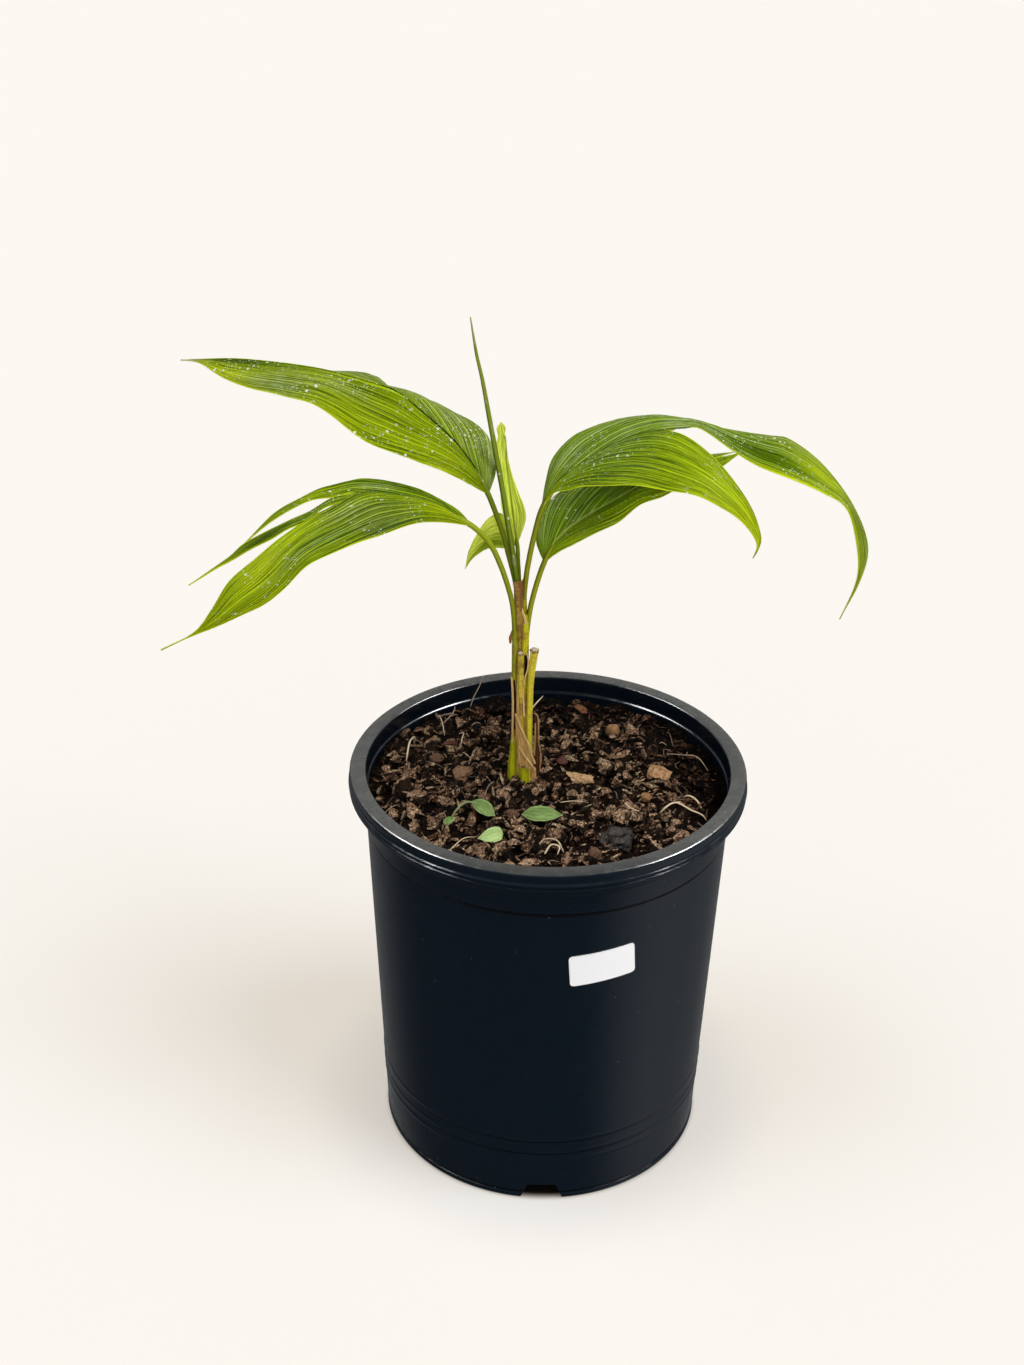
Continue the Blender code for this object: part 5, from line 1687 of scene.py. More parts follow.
LOWER_RIGHT = Leaf(
    "frond_lower_right",
    stalk=(
        (-12.2, 7.2, 270), (-11.4, 7.6, 284), (-10.2, 8.6, 294), (-8.2, 9.8, 303),
        (-6, 10.6, 311)) + LOWER_RIGHT_RIB + (
        (58, 32, 357),),
    radii=(1.1, 1.3, 1.4, 1.4, 1.4, 1.4, 1.3, 1.2, 1, 0.8, 0.6, 0.4), rib_from=0.38,
    lobes=(
        Lobe(
            LOWER_RIGHT_RIB + ((58, 32, 357), (75, 37, 361), (85, 40, 362), (91, 42, 363)),
            (
                (-4, 11, 317), (2, 9, 323), (10, 7, 329), (22, 6, 336), (32, 7, 342), (43, 11, 349),
                (54, 16, 351.5), (67, 26, 354), (80, 34.5, 357.5), (91, 42, 363)),
            arch=1.5, veins=13, sweep=18, rib_share=0.6, lime=(0.05, 0.1, 0.3), painted_sheen=(0.05, 0, 0),
            patches=(Patch(0.55, 0.05, 0.25, 0.18, shade=0.8), Patch(0.45, 0.85, 0.3, 0.2, lime=0.25)),
        ),
        Lobe(
            LOWER_RIGHT_RIB + ((58, 33, 357), (72, 38.5, 359), (87, 42.5, 362.5)),
            (
                (-4, 11, 317), (-8, 15, 327), (-6, 24, 336), (1, 32, 343), (13, 41, 347), (26, 47, 348),
                (40, 49, 351), (52, 48, 354), (66, 45, 358.5), (77, 44.5, 360.5), (87, 42.5, 362.5)),
            arch=2, veins=13, sweep=24, rib_share=0.8, lime=(0, 0.1, 0), painted_sheen=(0.16, 0.1, 0.12),
            patches=(Patch(0.25, 0.75, 0.12, 0.3, painted_sheen=0.4), Patch(0.6, 0.2, 0.2, 0.3, shade=0.5)),
        )),
)

YOUNG = Leaf(
    "young_leaf",
    stalk=(
        (-14.6, 12.4, 274), (-14.9, 13.4, 286), (-15.4, 15, 300), (-16.4, 17, 314), (-17, 18, 323),
        (-19, 21, 335)),
    radii=(0.9, 0.9, 1, 1.1, 1.1, 0.7), rib_from=0.8,
    lobes=(
        Lobe(
            YOUNG_MIDLINE,
            (
                (-17, 18, 323), (-13, 20, 337), (-16.5, 23, 348), (-20, 25.5, 357), (-22.4, 26, 367),
                (-23.8, 26, 376), (-23.3, 25.5, 380.5), (-25.4, 25, 383)),
            arch=0.8, veins=5, sweep=1, rib_share=0.9, lime=(0.75, 0.1, 0.1), ruffle=0.2,
        ),
        Lobe(
            YOUNG_MIDLINE,
            (
                (-17, 18, 323), (-22.8, 18, 334), (-25, 18, 345), (-26.5, 19.5, 358.5), (-27.4, 22.5, 368),
                (-28, 23, 372), (-26.8, 24, 376.4), (-27.4, 24.5, 380.2), (-25.4, 25, 383)),
            arch=0.8, veins=4, sweep=1, rib_share=0.9, lime=(0.55, 0.2, 0.3), ruffle=0.2,
        ),
        Lobe(
            ((-17, 18, 323), (-24, 22, 337), (-30, 22, 336), (-35, 21, 330), (-40, 19, 320), (-42, 18, 310)),
            ((-17, 18, 323), (-23, 21, 320), (-31, 20, 320), (-38, 18, 316), (-42, 18, 310)), arch=2, veins=7,
            sweep=1, rib_share=0.02, lime=(0.9, -0.1, -0.2), ruffle=0.2,
            patches=(Patch(0.5, 0.82, 0.5, 0.22, shade=0.9, lime=-0.9),),
        )),
)


@dataclass
class Crown:
    """The leaves and their finishes."""

    blade: Blade = Blade()
    spear_path: Rail = (
        (-15.8, 8.6, 286), (-16.4, 8.8, 298), (-17.2, 9.2, 309), (-19.3, 10, 324), (-21.6, 10.4, 338),
        (-24.2, 10.8, 354), (-27.1, 11, 370), (-30.7, 11, 390), (-34.1, 11, 409), (-36.9, 10.6, 422),
        (-39.6, 10, 439))
    spear_radii: tuple[float, ...] = (0.9, 1.2, 1.35, 1.35, 1.3, 1.3, 1.2, 1.1, 0.9, 0.7, 0.25)

    def spear(self) -> Object:
        """The closed newest leaf: a rolled blade whose edge shows as a seam."""
        count, sides = 160, 32
        angle = around(sides)
        step = np.linspace(0, 1, count)[:, None]
        seam = np.exp(-((angle[None, :] - 4.2 - 1.1 * step) / 0.22)**2)
        section = 1 + 0.05 * np.cos(angle * 3 + step * 4) - 0.20 * seam
        made = tube("spear_leaf", self.spear_path, self.spear_radii, count, sides, section)
        finish = StalkFinish(
            "spear_skin", (0.17, 0.25, 0.01), (0.26, 0.32, 0.035), (0.4, 0.42, 0.22), stain_share=0.2,
            shade_side=0.8, specks=0.35, roughness=0.4,
        )
        return dress(made, finish, ["spear_leaf"])

    def build(self) -> None:
        """Every leaf of the crown."""
        green = BladeFinish("blade_green", rib=(0.1, 0.16, 0.012))
        frosty = BladeFinish("blade_frosty", speck_share=0.45)
        shaded = BladeFinish(
            "blade_shaded", deep=(0.024, 0.066, 0.0012), bright=(0.35, 0.56, 0.006), rib=(0.46, 0.54, 0.1),
            rib_width=1.1, speck_share=0.25,
        )
        folded = BladeFinish(
            "blade_folded", deep=(0.022, 0.064, 0.0014), bright=(0.3, 0.46, 0.005), rib=(0.07, 0.12, 0.008),
        )
        young = BladeFinish(
            "blade_young", deep=(0.25, 0.38, 0.01), bright=(0.8, 0.95, 0.06), lime=(0.88, 0.98, 0.14),
            rib=(0.34, 0.42, 0.04), speck_share=0,
        )
        petioles = {
            "olive": StalkFinish(
                "petiole_olive", (0.26, 0.28, 0.015), (0.14, 0.24, 0.008), (0.1, 0.085, 0.02),
                stain_share=0.08, shade_side=0.8, specks=0.1,
            ),
            "bright": StalkFinish(
                "petiole_bright", (0.34, 0.37, 0.018), (0.28, 0.4, 0.016), (0.24, 0.2, 0.03),
                stain_share=0.08, shade_side=0.8,
            ),
            "dull": StalkFinish(
                "petiole_dull", (0.44, 0.42, 0.02), (0.24, 0.32, 0.012), (0.16, 0.1, 0.03), stain_share=0.08,
                shade_side=0.8,
            ),
            "mid": StalkFinish(
                "petiole_mid", (0.46, 0.44, 0.02), (0.28, 0.36, 0.014), (0.2, 0.14, 0.03), stain_share=0.08,
                shade_side=0.8,
            ),
        }
        UPPER_LEFT.build(self.blade, frosty, petioles["olive"], Slot.LEAF)
        LOWER_LEFT.build(self.blade, green, petioles["bright"], Slot.LEAF)
        UPPER_RIGHT.build(self.blade, folded, petioles["dull"], Slot.LEAF)
        LOWER_RIGHT.build(self.blade, shaded, petioles["mid"], Slot.LEAF)
        YOUNG.build(self.blade, young, petioles["mid"], Slot.YOUNG)
        self.spear()


# Stem and old sheaths


@dataclass(frozen=True)
class Column:
    """A rounded strand of the stem: its centre line, its radii, and whether its top is a cut face."""

    path: Rail
    radii: tuple[float, ...]
    finish: StalkFinish
    cut: bool = False
    node: str = ""
    wobble: float = 0.05

    def build(self, name: str) -> None:
        """The strand, and the rim and pith of its cut face.

        Args:
            name: The piece's name.
        """
        count, sides = 90, 28
        path, radii = smooth_path(self.path, count), smooth_values(self.radii, count)
        angle = around(sides)
        step = np.linspace(0, 1, count)[:, None]
        section = 1 + self.wobble * (np.cos(3 * angle + 5 * step) + 0.6 * np.cos(5 * angle - 9 * step))
        made = mesh_piece(name, *tube_parts(path, radii, sides, section))
        dress(made, self.finish, [self.node] if self.node else ())
        if self.cut:
            self.face(name, path[-1], unit(path[-1] - path[-3]), radii[-1])

    def face(self, name: str, end: np.ndarray, towards: np.ndarray, radius: float) -> None:
        """A frayed brown rim round a pale pith, on the cut end of the strand.

        Args:
            name: The strand's name.
            end: The middle of the cut in mm.
            towards: The way that the cut looks.
            radius: The strand's radius at the cut in mm.
        """
        angle = around(28)
        frayed = 1 + 0.10 * np.cos(5 * angle) + 0.06 * np.cos(11 * angle)
        for word, shares, widths, finish in (
            ("_rim", (-0.9, -0.4, 0.2, 0.4), [0.98, 1.10, 1.08, 0.92], CUT_RIM),
            ("_pith", (-0.3, 0.3, 0.75, 0.95), [0.84, 0.84, 0.74, 0.4], CUT_PITH),
        ):
            path = np.array([end + towards * share for share in shares])
            made = mesh_piece(name + word, *tube_parts(path, radius * np.array(widths), 28, frayed))
            dress(made, finish)


@dataclass(frozen=True)
class Strip:
    """A thin dry strip between two rails."""

    inner: Rail
    outer: Rail
    finish: DryFinish
    arch: float = 0.3
    node: str = ""
    veins: float = 4.0


SHEATH_BROWN = DryFinish("sheath_brown", (0.99, 0.62, 0.21), (0.26, 0.105, 0.026))
SHEATH_EDGE = DryFinish("sheath_edge_tan", (0.66, 0.40, 0.17), (0.22, 0.095, 0.035))
SHEATH_PALE = DryFinish("sheath_pale", (0.99, 0.76, 0.36), (0.62, 0.30, 0.08))
SHEATH_DARK = DryFinish("sheath_dark", (0.17, 0.065, 0.030), (0.040, 0.014, 0.007))
SHEATH_RED = DryFinish("sheath_red", (0.48, 0.20, 0.08), (0.18, 0.06, 0.025))
# Painted shade: a near-black sheet laid in the gaps of the stem.
GAP_SHADE = DryFinish("painted_gap_shade", (0.022, 0.010, 0.006), (0.006, 0.003, 0.002))
CUT_RIM = DryFinish("cut_rim", (0.50, 0.30, 0.14), (0.16, 0.07, 0.03))
CUT_PITH = DryFinish("cut_pith", (0.92, 0.84, 0.68), (0.60, 0.44, 0.26))

BUNDLE = StalkFinish(
    "stem_bundle", (0.99, 0.66, 0.18), (0.96, 0.64, 0.05), (0.4, 0.17, 0.04), stain_share=0.35, lengthwise=9,
    round_count=26, roughness=0.6, ridge=0.3, contrast=0.45, flecks=0.4,
)
FUZZ = StalkFinish(
    "sheath_fuzz", (0.86, 0.62, 0.11), (0.66, 0.38, 0.1), (0.26, 0.12, 0.035), stain_share=0.6, lengthwise=30,
    round_count=34, roughness=0.9, ridge=0.5, contrast=0.7, flecks=0.7,
)
OLIVE_BASE = StalkFinish(
    "base_olive", (0.48, 0.36, 0.03), (0.4, 0.44, 0.022), (0.26, 0.15, 0.03), stain_share=0.35, contrast=0.7,
    flecks=0.25,
)
LIME_BASE = StalkFinish(
    "base_lime", (0.8, 0.62, 0.03), (0.74, 0.7, 0.02), (0.4, 0.21, 0.04), stain_share=0.45, contrast=0.6,
    flecks=0.45,
)
STUB_LIME = StalkFinish(
    "stub_lime", (0.58, 0.6, 0.01), (0.56, 0.55, 0.014), (0.3, 0.24, 0.03), stain_share=0.15, ridge=0.15,
)
STUB_TAN = StalkFinish(
    "stub_tan", (0.84, 0.6, 0.1), (0.88, 0.68, 0.07), (0.3, 0.15, 0.05), stain_share=0.4, ridge=0.15,
    contrast=0.6, flecks=0.5,
)
CUT_SKIN = StalkFinish(
    "cut_stalk_skin", (0.97, 0.9, 0.035), (0.95, 0.78, 0.07), (0.44, 0.26, 0.07), stain_share=0.35,
    ridge=0.15, contrast=0.6, flecks=0.2,
)

COLUMNS: dict[str, Column] = {
    "left_stub": Column(
        ((-18.2, 5.8, 190), (-18.1, 5.6, 205), (-17.3, 6.2, 223)), (2.3, 2.1, 1.3), STUB_LIME,
    ),
    "front_stub": Column(
        ((-12, 4.6, 190), (-12, 4.3, 199), (-12.1, 4.3, 208)), (2.6, 2.5, 2.2), STUB_LIME, cut=True,
    ),
    "upper_stub": Column(
        ((-14.2, 6, 226), (-14.3, 5, 250), (-14.5, 4.7, 262), (-14.6, 4.4, 271)), (1.6, 1.7, 1.7, 1.4),
        STUB_TAN, cut=True,
    ),
    "cut_stalk": Column(
        (
            (-8.8, 4.4, 186), (-9.3, 4.6, 206), (-9.7, 5, 228), (-9.6, 5, 250), (-9, 4.4, 262),
            (-7.8, 3.6, 273.4)),
        (1.8, 1.7, 1.6, 1.6, 1.6, 2), CUT_SKIN, cut=True, node="cut_stalk",
    ),
    "left_base": Column(
        (
            (-15.8, 7.4, 214), (-16.9, 6.8, 236), (-17.3, 6.4, 256), (-17.4, 6.2, 272), (-17.6, 6, 284),
            (-18.4, 5.4, 294)),
        (1.2, 1.5, 1.6, 1.6, 1.5, 1.2), OLIVE_BASE,
    ),
    "right_base": Column(
        ((-12.6, 6.8, 244), (-12.5, 6.4, 258), (-12.5, 6.2, 270), (-12.4, 6.4, 281), (-12.8, 7.6, 291)),
        (1.3, 1.7, 1.9, 1.8, 1.2), LIME_BASE,
    ),
    "far_base": Column(
        ((-12.9, 8.4, 250), (-12.6, 8.2, 270), (-12.9, 9.2, 286), (-13.3, 10, 298)), (1.5, 1.7, 1.5, 1.3),
        LIME_BASE,
    ),
    "fuzzy_sheath": Column(
        ((-15, 6.4, 262), (-15.2, 6.2, 276), (-15.6, 6, 290), (-16.2, 6.4, 300), (-16.6, 7, 308.5)),
        (0.9, 1.25, 1.75, 1.95, 1.8), FUZZ, wobble=0.08,
    ),
}


@dataclass
class Stem:
    """The short stem: a bundle of leaf bases with what is left of old leaves on it."""

    path: Rail = ((-14, 8.4, 150), (-14.2, 8.4, 197), (-14.6, 8.5, 225), (-14.8, 8.6, 250),
                  (-15, 8.7, 272), (-15.6, 8.4, 286), (-16.2, 7.6, 298), (-16.9, 7.2, 308))
    radii: tuple[float, ...] = (4.0, 4.3, 3.9, 3.6, 3.6, 3.1, 2.3, 1.6)
    columns: dict[str, Column] = field(default_factory=lambda: COLUMNS)

    def core(self) -> Object:
        """The bundle of leaf bases, with a ridge for each."""
        count, sides = 150, 48
        angle = around(sides)
        step = np.linspace(0, 1, count)[:, None]
        section = (1 + 0.07 * np.cos(3 * angle[None, :] + 1.5 * step)
                   + 0.03 * np.cos(7 * angle[None, :] - 3 * step))
        made = tube("stem_core", self.path, self.radii, count, sides, section)
        return dress(made, BUNDLE, ["stem"])

    def hairs(self) -> Object:
        """Short brown fibres that stand out of the fuzzy sheath and the stem's front."""
        draw = np.random.default_rng(5)
        parts = []
        line = smooth_path(self.columns["fuzzy_sheath"].path, 60)
        reach = smooth_values(self.columns["fuzzy_sheath"].radii, 60)
        for _ in range(420):
            step = int(draw.random()**0.8 * 59)
            turn = draw.random() * math.tau
            out = np.array([math.cos(turn), math.sin(turn), 0.0])
            root = line[step] + out * reach[step] * 0.9
            lean = out * (0.5 + 0.6 * draw.random()) + np.array([0, 0, 0.5]) + draw.normal(0, 0.25, 3)
            path = np.array([root, root + lean * 0.5, root + lean + (0, 0, 0.25)])
            radii = np.array([0.07, 0.06, 0.02])
            points, faces, _ = tube_parts(path, radii, 3)
            parts.append((points, faces, {"along": np.full(len(points), draw.random()),
                                          "turn": np.full(len(points), draw.random())}))
        return dress(mesh_piece("stem_hairs", *joined(parts)), SHEATH_BROWN)

    def build(self) -> None:
        """The stem, its stubs, the cut stalk and the fuzz."""
        self.core()
        for name, column in self.columns.items():
            column.build(name)
        self.hairs()

STRIPS: dict[str, Strip] = {
    "dry_sheath": Strip(
        ((-16.9, 4, 237), (-15.9, 3.2, 224), (-14.6, 2.4, 210)),
        ((-15.6, 3.4, 235), (-10.6, 2, 221), (-6.4, 1.6, 206)), SHEATH_BROWN, 0.5, "dry_sheath", 7,
    ),
    "sheath_under": Strip(
        ((-15.6, 3.6, 228), (-15.2, 3.4, 216), (-14, 2.9, 207)),
        ((-12, 3, 226), (-9, 2.4, 214), (-8.6, 2.2, 206.5)), SHEATH_PALE, 0.3,
    ),
    "sheath_edge": Strip(
        ((-16.9, 3.2, 238), (-13.9, 2.4, 229.6), (-10.4, 1.6, 221.3), (-6.9, 1.3, 210)),
        ((-16.4, 3.1, 238.3), (-13.2, 2.2, 230), (-9.8, 1.4, 221.8), (-6.2, 1.2, 210.6)), SHEATH_PALE, 0.2,
        veins=2,
    ),
    "sheath_fold": Strip(
        ((-14.9, 2.2, 219.4), (-11.8, 1.6, 213.6), (-8.7, 1.3, 209.2), (-6.6, 1.4, 206)),
        ((-14.3, 2.1, 219.8), (-11.2, 1.4, 214.3), (-8.1, 1.1, 210), (-5.9, 1.3, 206.9)), SHEATH_PALE, 0.2,
        veins=2,
    ),
    "foot_fray": Strip(
        ((-9.4, 3.2, 208), (-9, 3, 203), (-8.2, 3, 198)),
        ((-6.2, 2.8, 207.5), (-5.8, 2.8, 203), (-5.6, 3, 198)), SHEATH_BROWN, 0.3,
    ),
    "dry_strip": Strip(
        ((-7.2, 3.8, 237.6), (-6.4, 3.6, 224), (-6.8, 3.8, 206), (-7, 4, 195)),
        ((-5.8, 4.4, 237), (-5.2, 4.4, 224), (-4.2, 4.4, 210), (-5, 4.4, 195)), SHEATH_DARK, 0.3, "dry_strip",
    ),
    "strip_edge": Strip(
        (
            (-7.4, 3.8, 238), (-5.9, 3.6, 236.2), (-5.3, 3.6, 230), (-5.2, 3.6, 222), (-3.9, 3.6, 214),
            (-4.2, 3.6, 206)),
        (
            (-7.1, 3.7, 238.5), (-5.3, 3.5, 236.6), (-4.7, 3.5, 230), (-4.6, 3.5, 222), (-3.3, 3.5, 214),
            (-3.7, 3.5, 206)),
        SHEATH_EDGE, 0.15, veins=1.5,
    ),
    "strip_mid": Strip(
        ((-7, 3.4, 232.6), (-7, 3.3, 224), (-7.2, 3, 214)),
        ((-6.4, 3.3, 232.6), (-6.3, 3.2, 224), (-6.5, 2.9, 214)), SHEATH_EDGE, 0.15, veins=1.5,
    ),
    "left_strip": Strip(
        ((-19.2, 5.6, 258), (-18.5, 5.4, 246), (-18.4, 5.2, 232), (-18.3, 5.2, 219)),
        ((-18.2, 5, 257), (-17.6, 4.8, 246), (-17.5, 4.8, 232), (-17.6, 4.8, 221)), SHEATH_PALE, 0.3, veins=2,
    ),
    # A painted shade sheet in the gap.
    "left_gap": Strip(
        ((-17.9, 5, 256), (-17.4, 4.8, 246), (-17.3, 4.8, 228)),
        ((-17.2, 4.7, 256), (-16.7, 4.6, 246), (-16.7, 4.5, 228)), GAP_SHADE, 0.1, veins=1.5,
    ),
    # A painted shade sheet in the slit.
    "slit": Strip(
        ((-12.7, 4.3, 270.5), (-12.6, 4.2, 262), (-12.6, 4.3, 256.5)),
        ((-11.6, 4.3, 270), (-11, 4.2, 266), (-12, 4.3, 257)), GAP_SHADE, 0.1, veins=1.5,
    ),
    "slit_edge": Strip(
        (
            (-11.9, 4.1, 272), (-11, 3.9, 267.5), (-11.3, 3.9, 262.5), (-12.8, 4, 257), (-13.4, 4.2, 252),
            (-12.6, 3.6, 236)),
        (
            (-11.4, 4, 272), (-10.4, 3.8, 267.5), (-10.7, 3.8, 262.3), (-12.1, 3.9, 257), (-12.7, 4.1, 252),
            (-11.9, 3.5, 236)),
        SHEATH_PALE, 0.15, veins=1.5,
    ),
    "peel": Strip(
        ((-14.6, 5.2, 295), (-13.6, 4.6, 291), (-12.2, 4.4, 287)),
        ((-14, 4.9, 295.6), (-12.6, 4.3, 291.6), (-11.6, 4.3, 287.2)), SHEATH_PALE, 0.3, veins=2,
    ),
    "top_flap": Strip(
        ((-15.6, 5.2, 309), (-15.2, 4.9, 302), (-15, 4.6, 294)),
        ((-13.8, 6.2, 311), (-14.1, 5.2, 302), (-14.2, 4.8, 294)), SHEATH_RED, 0.4,
    ),
    "left_scale": Strip(
        ((-18.9, 6.4, 283), (-20.3, 6.2, 279), (-20.1, 6.2, 275.8)),
        ((-18.3, 6, 281), (-19, 5.8, 278), (-19.3, 5.9, 275.8)), SHEATH_RED, 0.3, veins=2,
    ),
    "mid_brown": Strip(
        ((-16, 4.4, 257), (-16.2, 4, 246), (-15.8, 3.8, 236)),
        ((-15.2, 3.9, 257), (-15.2, 3.6, 246), (-14.4, 3.4, 233)), SHEATH_BROWN, 0.3,
    ),
}


@dataclass
class OldSheaths:
    """Dry brown remains of old leaf bases round the stem."""

    blade: Blade = Blade(rows=60, thickness=0.3, narrowest=0.4, pleat=0.22, wave=0.1, facing=(0.0, -1.0, 0.0))
    strips: dict[str, Strip] = field(default_factory=lambda: STRIPS)

    def build(self) -> None:
        """Every dry strip."""
        for name, strip in self.strips.items():
            lobe = Lobe(strip.inner, strip.outer, strip.arch, veins=strip.veins, sweep=0.5, rib_share=0.02,
                        ruffle=0.15)
            dress(self.blade.piece(name, lobe), strip.finish, [strip.node] if strip.node else ())


# Weeds

PLANTS: dict[str, tuple[Rail, tuple[tuple[Rail, Rail], ...]]] = {
    "weed_right": (
        ((-7, -36, 186), (-8, -35.5, 197), (-11, -35, 202.5), (-8, -35.5, 204)),
        (
            (
                ((-13, -35, 203), (-8, -31, 205), (0, -31, 205), (7, -35, 203)),
                ((-13, -35, 203), (-8, -40, 203), (0, -40, 203), (7, -35, 203))),)),
    "weed_front": (
        ((-24, -46, 186), (-24, -48, 197), (-23, -50, 201), (-24, -52, 202)),
        (
            (
                ((-22, -50, 201.5), (-24, -46.5, 203), (-29, -48, 203), (-34, -55, 202)),
                ((-22, -50, 201.5), (-23, -56, 202), (-28, -59, 202), (-34, -55, 202))),)),
    "weed_left": (
        ((-48, -32, 186), (-47.5, -33, 198), (-44, -31, 204), (-40, -29, 206), (-34, -31, 206.6)),
        (
            (
                ((-38, -28.5, 206), (-33, -27.5, 207), (-28, -31, 206), (-26, -38, 204)),
                ((-38, -28.5, 206), (-35, -35, 205), (-30, -38, 204), (-26, -38, 204))),
            (
                ((-47.2, -32.2, 198.6), (-45.5, -35, 200.5), (-46.5, -39, 201), (-49, -41, 200)),
                ((-47.8, -32.2, 198.6), (-50.5, -35, 200), (-51, -39, 200), (-49, -41, 200))))),
}


@dataclass
class Weeds:
    """Three weed seedlings in the mix."""

    stalk_radius: float = 0.55
    plants: dict[str, tuple[Rail, tuple[tuple[Rail, Rail], ...]]] = field(default_factory=lambda: PLANTS)

    def build(self) -> None:
        """Every seedling."""
        mid = BladeFinish(
            "weed_mid", deep=(0.1, 0.18, 0.05), bright=(0.25, 0.38, 0.11), lime=(0.46, 0.58, 0.24),
            rib=(0.36, 0.46, 0.22), finer=3, speck_share=0, roughness=0.5,
        )
        pale = BladeFinish(
            "weed_pale", deep=(0.34, 0.5, 0.17), bright=(0.5, 0.66, 0.27), lime=(0.62, 0.74, 0.36),
            rib=(0.6, 0.7, 0.4), finer=3, speck_share=0, roughness=0.55,
        )
        blade = Blade(rows=48, columns_each_vein=5, thickness=0.35, pleat=0.15, wave=0.2)
        stalk = StalkFinish("weed_stalk", (0.45, 0.3, 0.16), (0.25, 0.36, 0.14), (0.25, 0.15, 0.08))
        for name, (path, leaves) in self.plants.items():
            radii = (self.stalk_radius,) * 2
            dress(tube(name + "_stalk", path, radii, 30, 12), stalk)
            for number, (one, other) in enumerate(leaves):
                lobe = Lobe(one, other, arch=0.8, veins=6, sweep=2, rib_share=0.02, lime=(0.1, 0.1, 0.1),
                            painted_sheen=(0, 0, 0), ruffle=0.15)
                piece = blade.piece(f"{name}_leaf_{number + 1}", lobe)
                dress(piece, pale if name == "weed_front" else mid, [name])


# Floor, light and camera


@dataclass(frozen=True)
class FloorFinish(Finish):
    """The floor, pale all over, with painted shade where the pot covers it and a painted shadow round its
    foot; covered is that place's radius in metres.
    """

    grey: Colour = (0.413, 0.449, 0.489)
    glow: Colour = (0.494, 0.414, 0.313)
    # Painted shade where the pot covers the floor.
    under: Colour = (0.020, 0.016, 0.012)
    covered: float = 0.083

    def paint(self, graph: Graph) -> None:
        """A trace uneven in tone, with part of the tone as the floor's own light, taken away under the pot
        and dimmed near its foot as painted shadow.
        """
        tone = graph.noise(graph.place(), 3.0, 2.0)
        paler = tuple(channel * 1.01 for channel in self.grey)
        away = graph.vector("LENGTH", graph.place(), output=1)
        uncovered = graph.remap(away, self.covered - 0.004, self.covered + 0.003)
        # Painted contact shadow: the floor's own light fades near the pot's foot.
        near = graph.remap(away, self.covered, self.covered + 0.055, 0.77, 1.0)
        shader = graph.tree.nodes["Principled BSDF"]
        base = graph.mix(uncovered, self.under, graph.mix(tone, self.grey, paler))
        glow = graph.mix(graph.times(uncovered, near), BLACK, self.glow)
        values = {"Base Color": base, "Emission Color": glow, "Emission Strength": 1.0, "Roughness": 1.0,
                  "Specular IOR Level": 0.0}
        for label, value in values.items():
            graph.feed(shader.inputs[label], value)


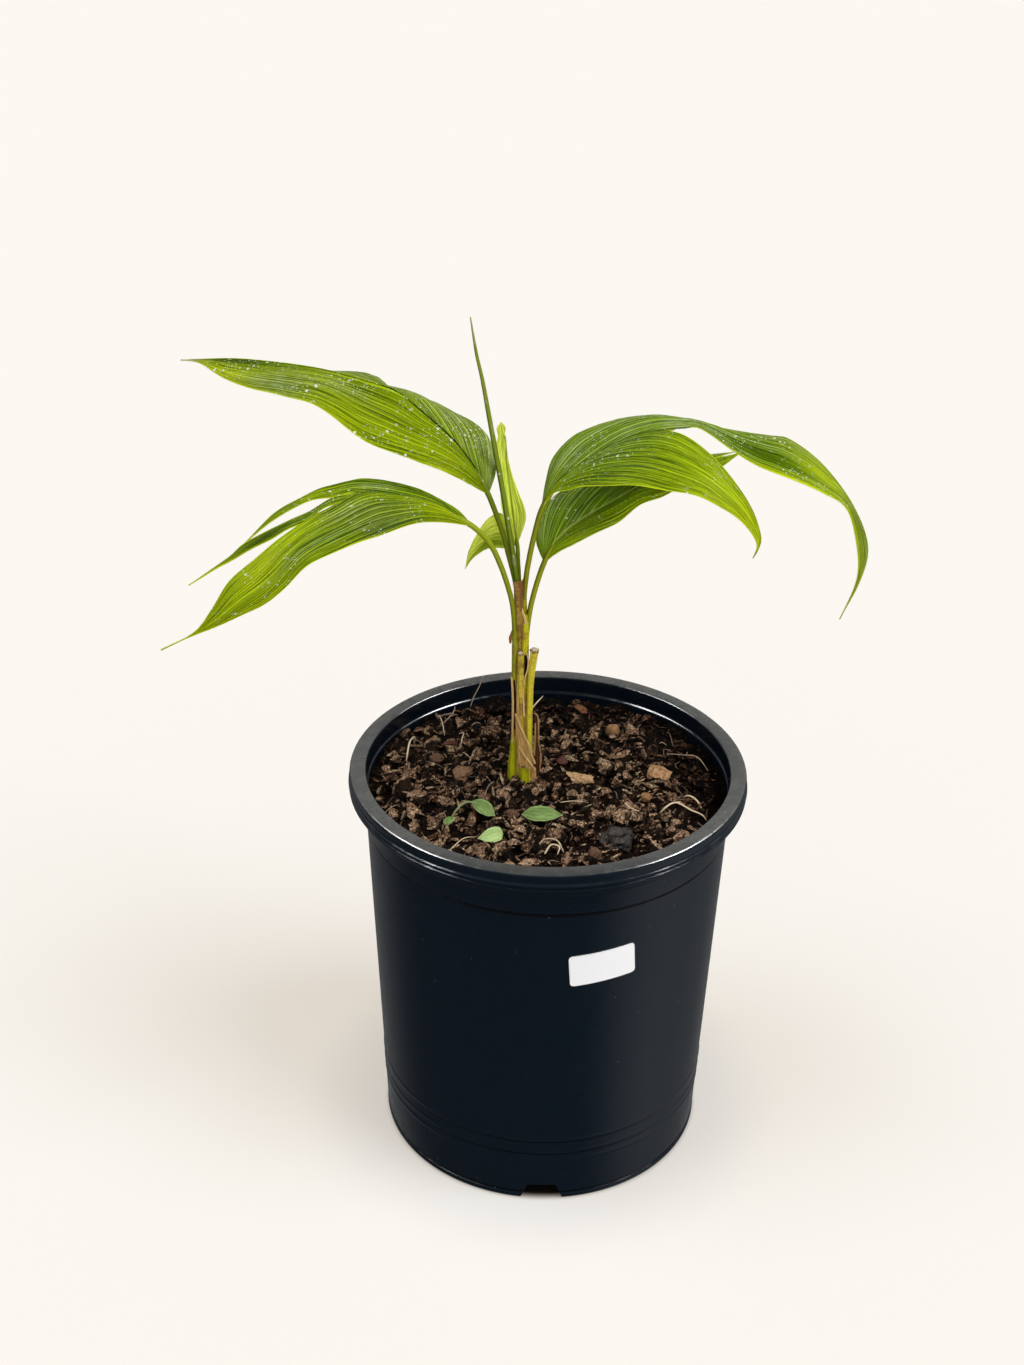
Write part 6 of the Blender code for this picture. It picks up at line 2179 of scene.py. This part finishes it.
@dataclass
class Studio:
    """A plain pale floor, a broad light on each side, and the camera at the photograph's angle.

    The floor gives part of its tone as its own light, which keeps its shadows pale and warm. The lamps light
    without being mirrored: what shines is a strip on each side and a soft gradient over the back.
    """

    backdrop: Colour = (0.956, 0.922, 0.863)
    floor_reach: float = 14.0
    sky_light: float = 0.24
    front_light: float = 0.62
    location: Point = (-0.01861, -0.84536, 0.72051)
    pitch: float = 28.722
    roll: float = 0.782
    lens: float = 51.88

    def floor(self) -> Object:
        """The floor, a large plain square."""
        reach = self.floor_reach / MM
        points = np.array([(-reach, -reach, 0), (reach, -reach, 0), (reach, reach, 0), (-reach, reach, 0)])
        made = mesh_piece("floor", points, [[0, 1, 2, 3]])
        made.data.materials.append(FloorFinish("floor_cream").material())
        made.visible_glossy = False
        return made

    def aim(self, lamp: bpy.types.Light, turn: float, height: float, far: float = 0.0) -> Object:
        """Place a lamp round the object.

        Args:
            lamp: The lamp.
            turn: Where it stands, 0 at the front and 90 on the right, in degrees.
            height: Its height above the horizon in degrees.
            far: Its distance from the plant in metres.

        Returns:
            The lamp's object, which shines at the plant.
        """
        made = bpy.data.objects.new(lamp.name, lamp)
        bpy.context.scene.collection.objects.link(made)
        a, e = math.radians(turn), math.radians(height)
        towards = Vector((math.sin(a) * math.cos(e), -math.cos(a) * math.cos(e), math.sin(e)))
        made.location = towards * far + Vector((0, 0, 0.2))
        made.rotation_mode = "QUATERNION"
        made.rotation_quaternion = towards.to_track_quat("Z", "Y")
        return made

    def sun(self, name: str, strength: float, spread: float, turn: float, height: float) -> None:
        """A broad soft light that is never mirrored; spread, turn and height are in degrees."""
        lamp = bpy.data.lights.new(name, "SUN")
        lamp.energy, lamp.angle = strength, math.radians(spread)
        self.aim(lamp, turn, height).visible_glossy = False

    def strip(self, name: str, power: float, turn: float, height: float) -> None:
        """A soft box that only shows as a highlight; turn and height are in degrees."""
        lamp = bpy.data.lights.new(name, "AREA")
        lamp.shape, lamp.size, lamp.size_y, lamp.energy = "RECTANGLE", 0.8, 0.3, power
        self.aim(lamp, turn, height, 1.4).visible_diffuse = False

    def sky(self) -> None:
        """Even light from all round, a gradient for what is mirrored, and a pale backdrop."""
        world = bpy.data.worlds.new("studio")
        bpy.context.scene.world = world
        world.use_nodes = True
        graph = Graph(world.node_tree)
        background = world.node_tree.nodes["Background"]
        path = graph.node("LightPath").outputs
        x, y, z = graph.node("SeparateXYZ", {0: graph.node("TexCoord").outputs["Generated"]}).outputs
        above, behind, level = graph.remap(z, 0.0, 0.05), graph.remap(y, 0.0, 0.7), graph.remap(z, 0.78, 0.38)
        high = graph.plus(graph.times(graph.times(behind, level), 0.35), 0.12)
        beside = graph.times(graph.remap(x, 0.35, 0.9), graph.sum(Op.SUBTRACT, 1.0, behind))
        beside = graph.times(beside, graph.remap(y, -0.45, 0.25, 1.9, 1.0))
        low = graph.plus(graph.total((behind, 0.12), (beside, 0.26)), 0.05)
        shine = graph.mix(graph.mix(above, low, high), BLACK, WHITE)
        ahead = graph.times(graph.sum(Op.MAXIMUM, graph.times(y, -1.0), 0.0), self.front_light)
        light = graph.mix(graph.plus(ahead, self.sky_light), BLACK, WHITE)
        seen = graph.mix(path["Is Glossy Ray"], light, shine)
        graph.feed(background.inputs["Color"], graph.mix(path["Is Camera Ray"], seen, self.backdrop))

    def camera(self) -> None:
        """The camera at the photograph's place, pitch and roll."""
        data = bpy.data.cameras.new("photo_camera")
        data.lens, data.sensor_width = self.lens, 36.0
        data.clip_start, data.clip_end = 0.02, 60.0
        made = bpy.data.objects.new("photo_camera", data)
        bpy.context.scene.collection.objects.link(made)
        pitch, roll = math.radians(self.pitch), math.radians(self.roll)
        forward = Vector((0, math.cos(pitch), -math.sin(pitch)))
        level = Vector((1, 0, 0))
        raised = level.cross(forward)
        right = math.cos(roll) * level + math.sin(roll) * raised
        up = -math.sin(roll) * level + math.cos(roll) * raised
        turn = Matrix((right, up, -forward)).transposed().to_4x4()
        made.matrix_world = Matrix.Translation(self.location) @ turn
        bpy.context.scene.camera = made

    def build(self) -> None:
        """Floor, light and camera."""
        self.floor()
        self.sky()
        self.sun("key", 1.9, 34.0, 65.0, 55.0)
        self.sun("fill", 1.05, 33.0, -76.0, 64.0)
        self.strip("left_box", 60.0, -92.0, 47.0)
        self.strip("right_box", 60.0, 92.0, 47.0)
        self.camera()
        bpy.context.scene.view_settings.view_transform = "Standard"


def main() -> None:
    """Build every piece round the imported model."""
    logging.basicConfig(level=logging.INFO, format="%(message)s")
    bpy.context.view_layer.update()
    studio = Studio()
    studio.build()
    pot = Pot()
    pot.build()
    Label(pot).build()
    mix = Mix(pot)
    mix.build()
    Litter(mix).build()
    Stem().build()
    OldSheaths().build()
    Crown().build()
    Weeds().build()


if __name__ == "__main__":
    main()
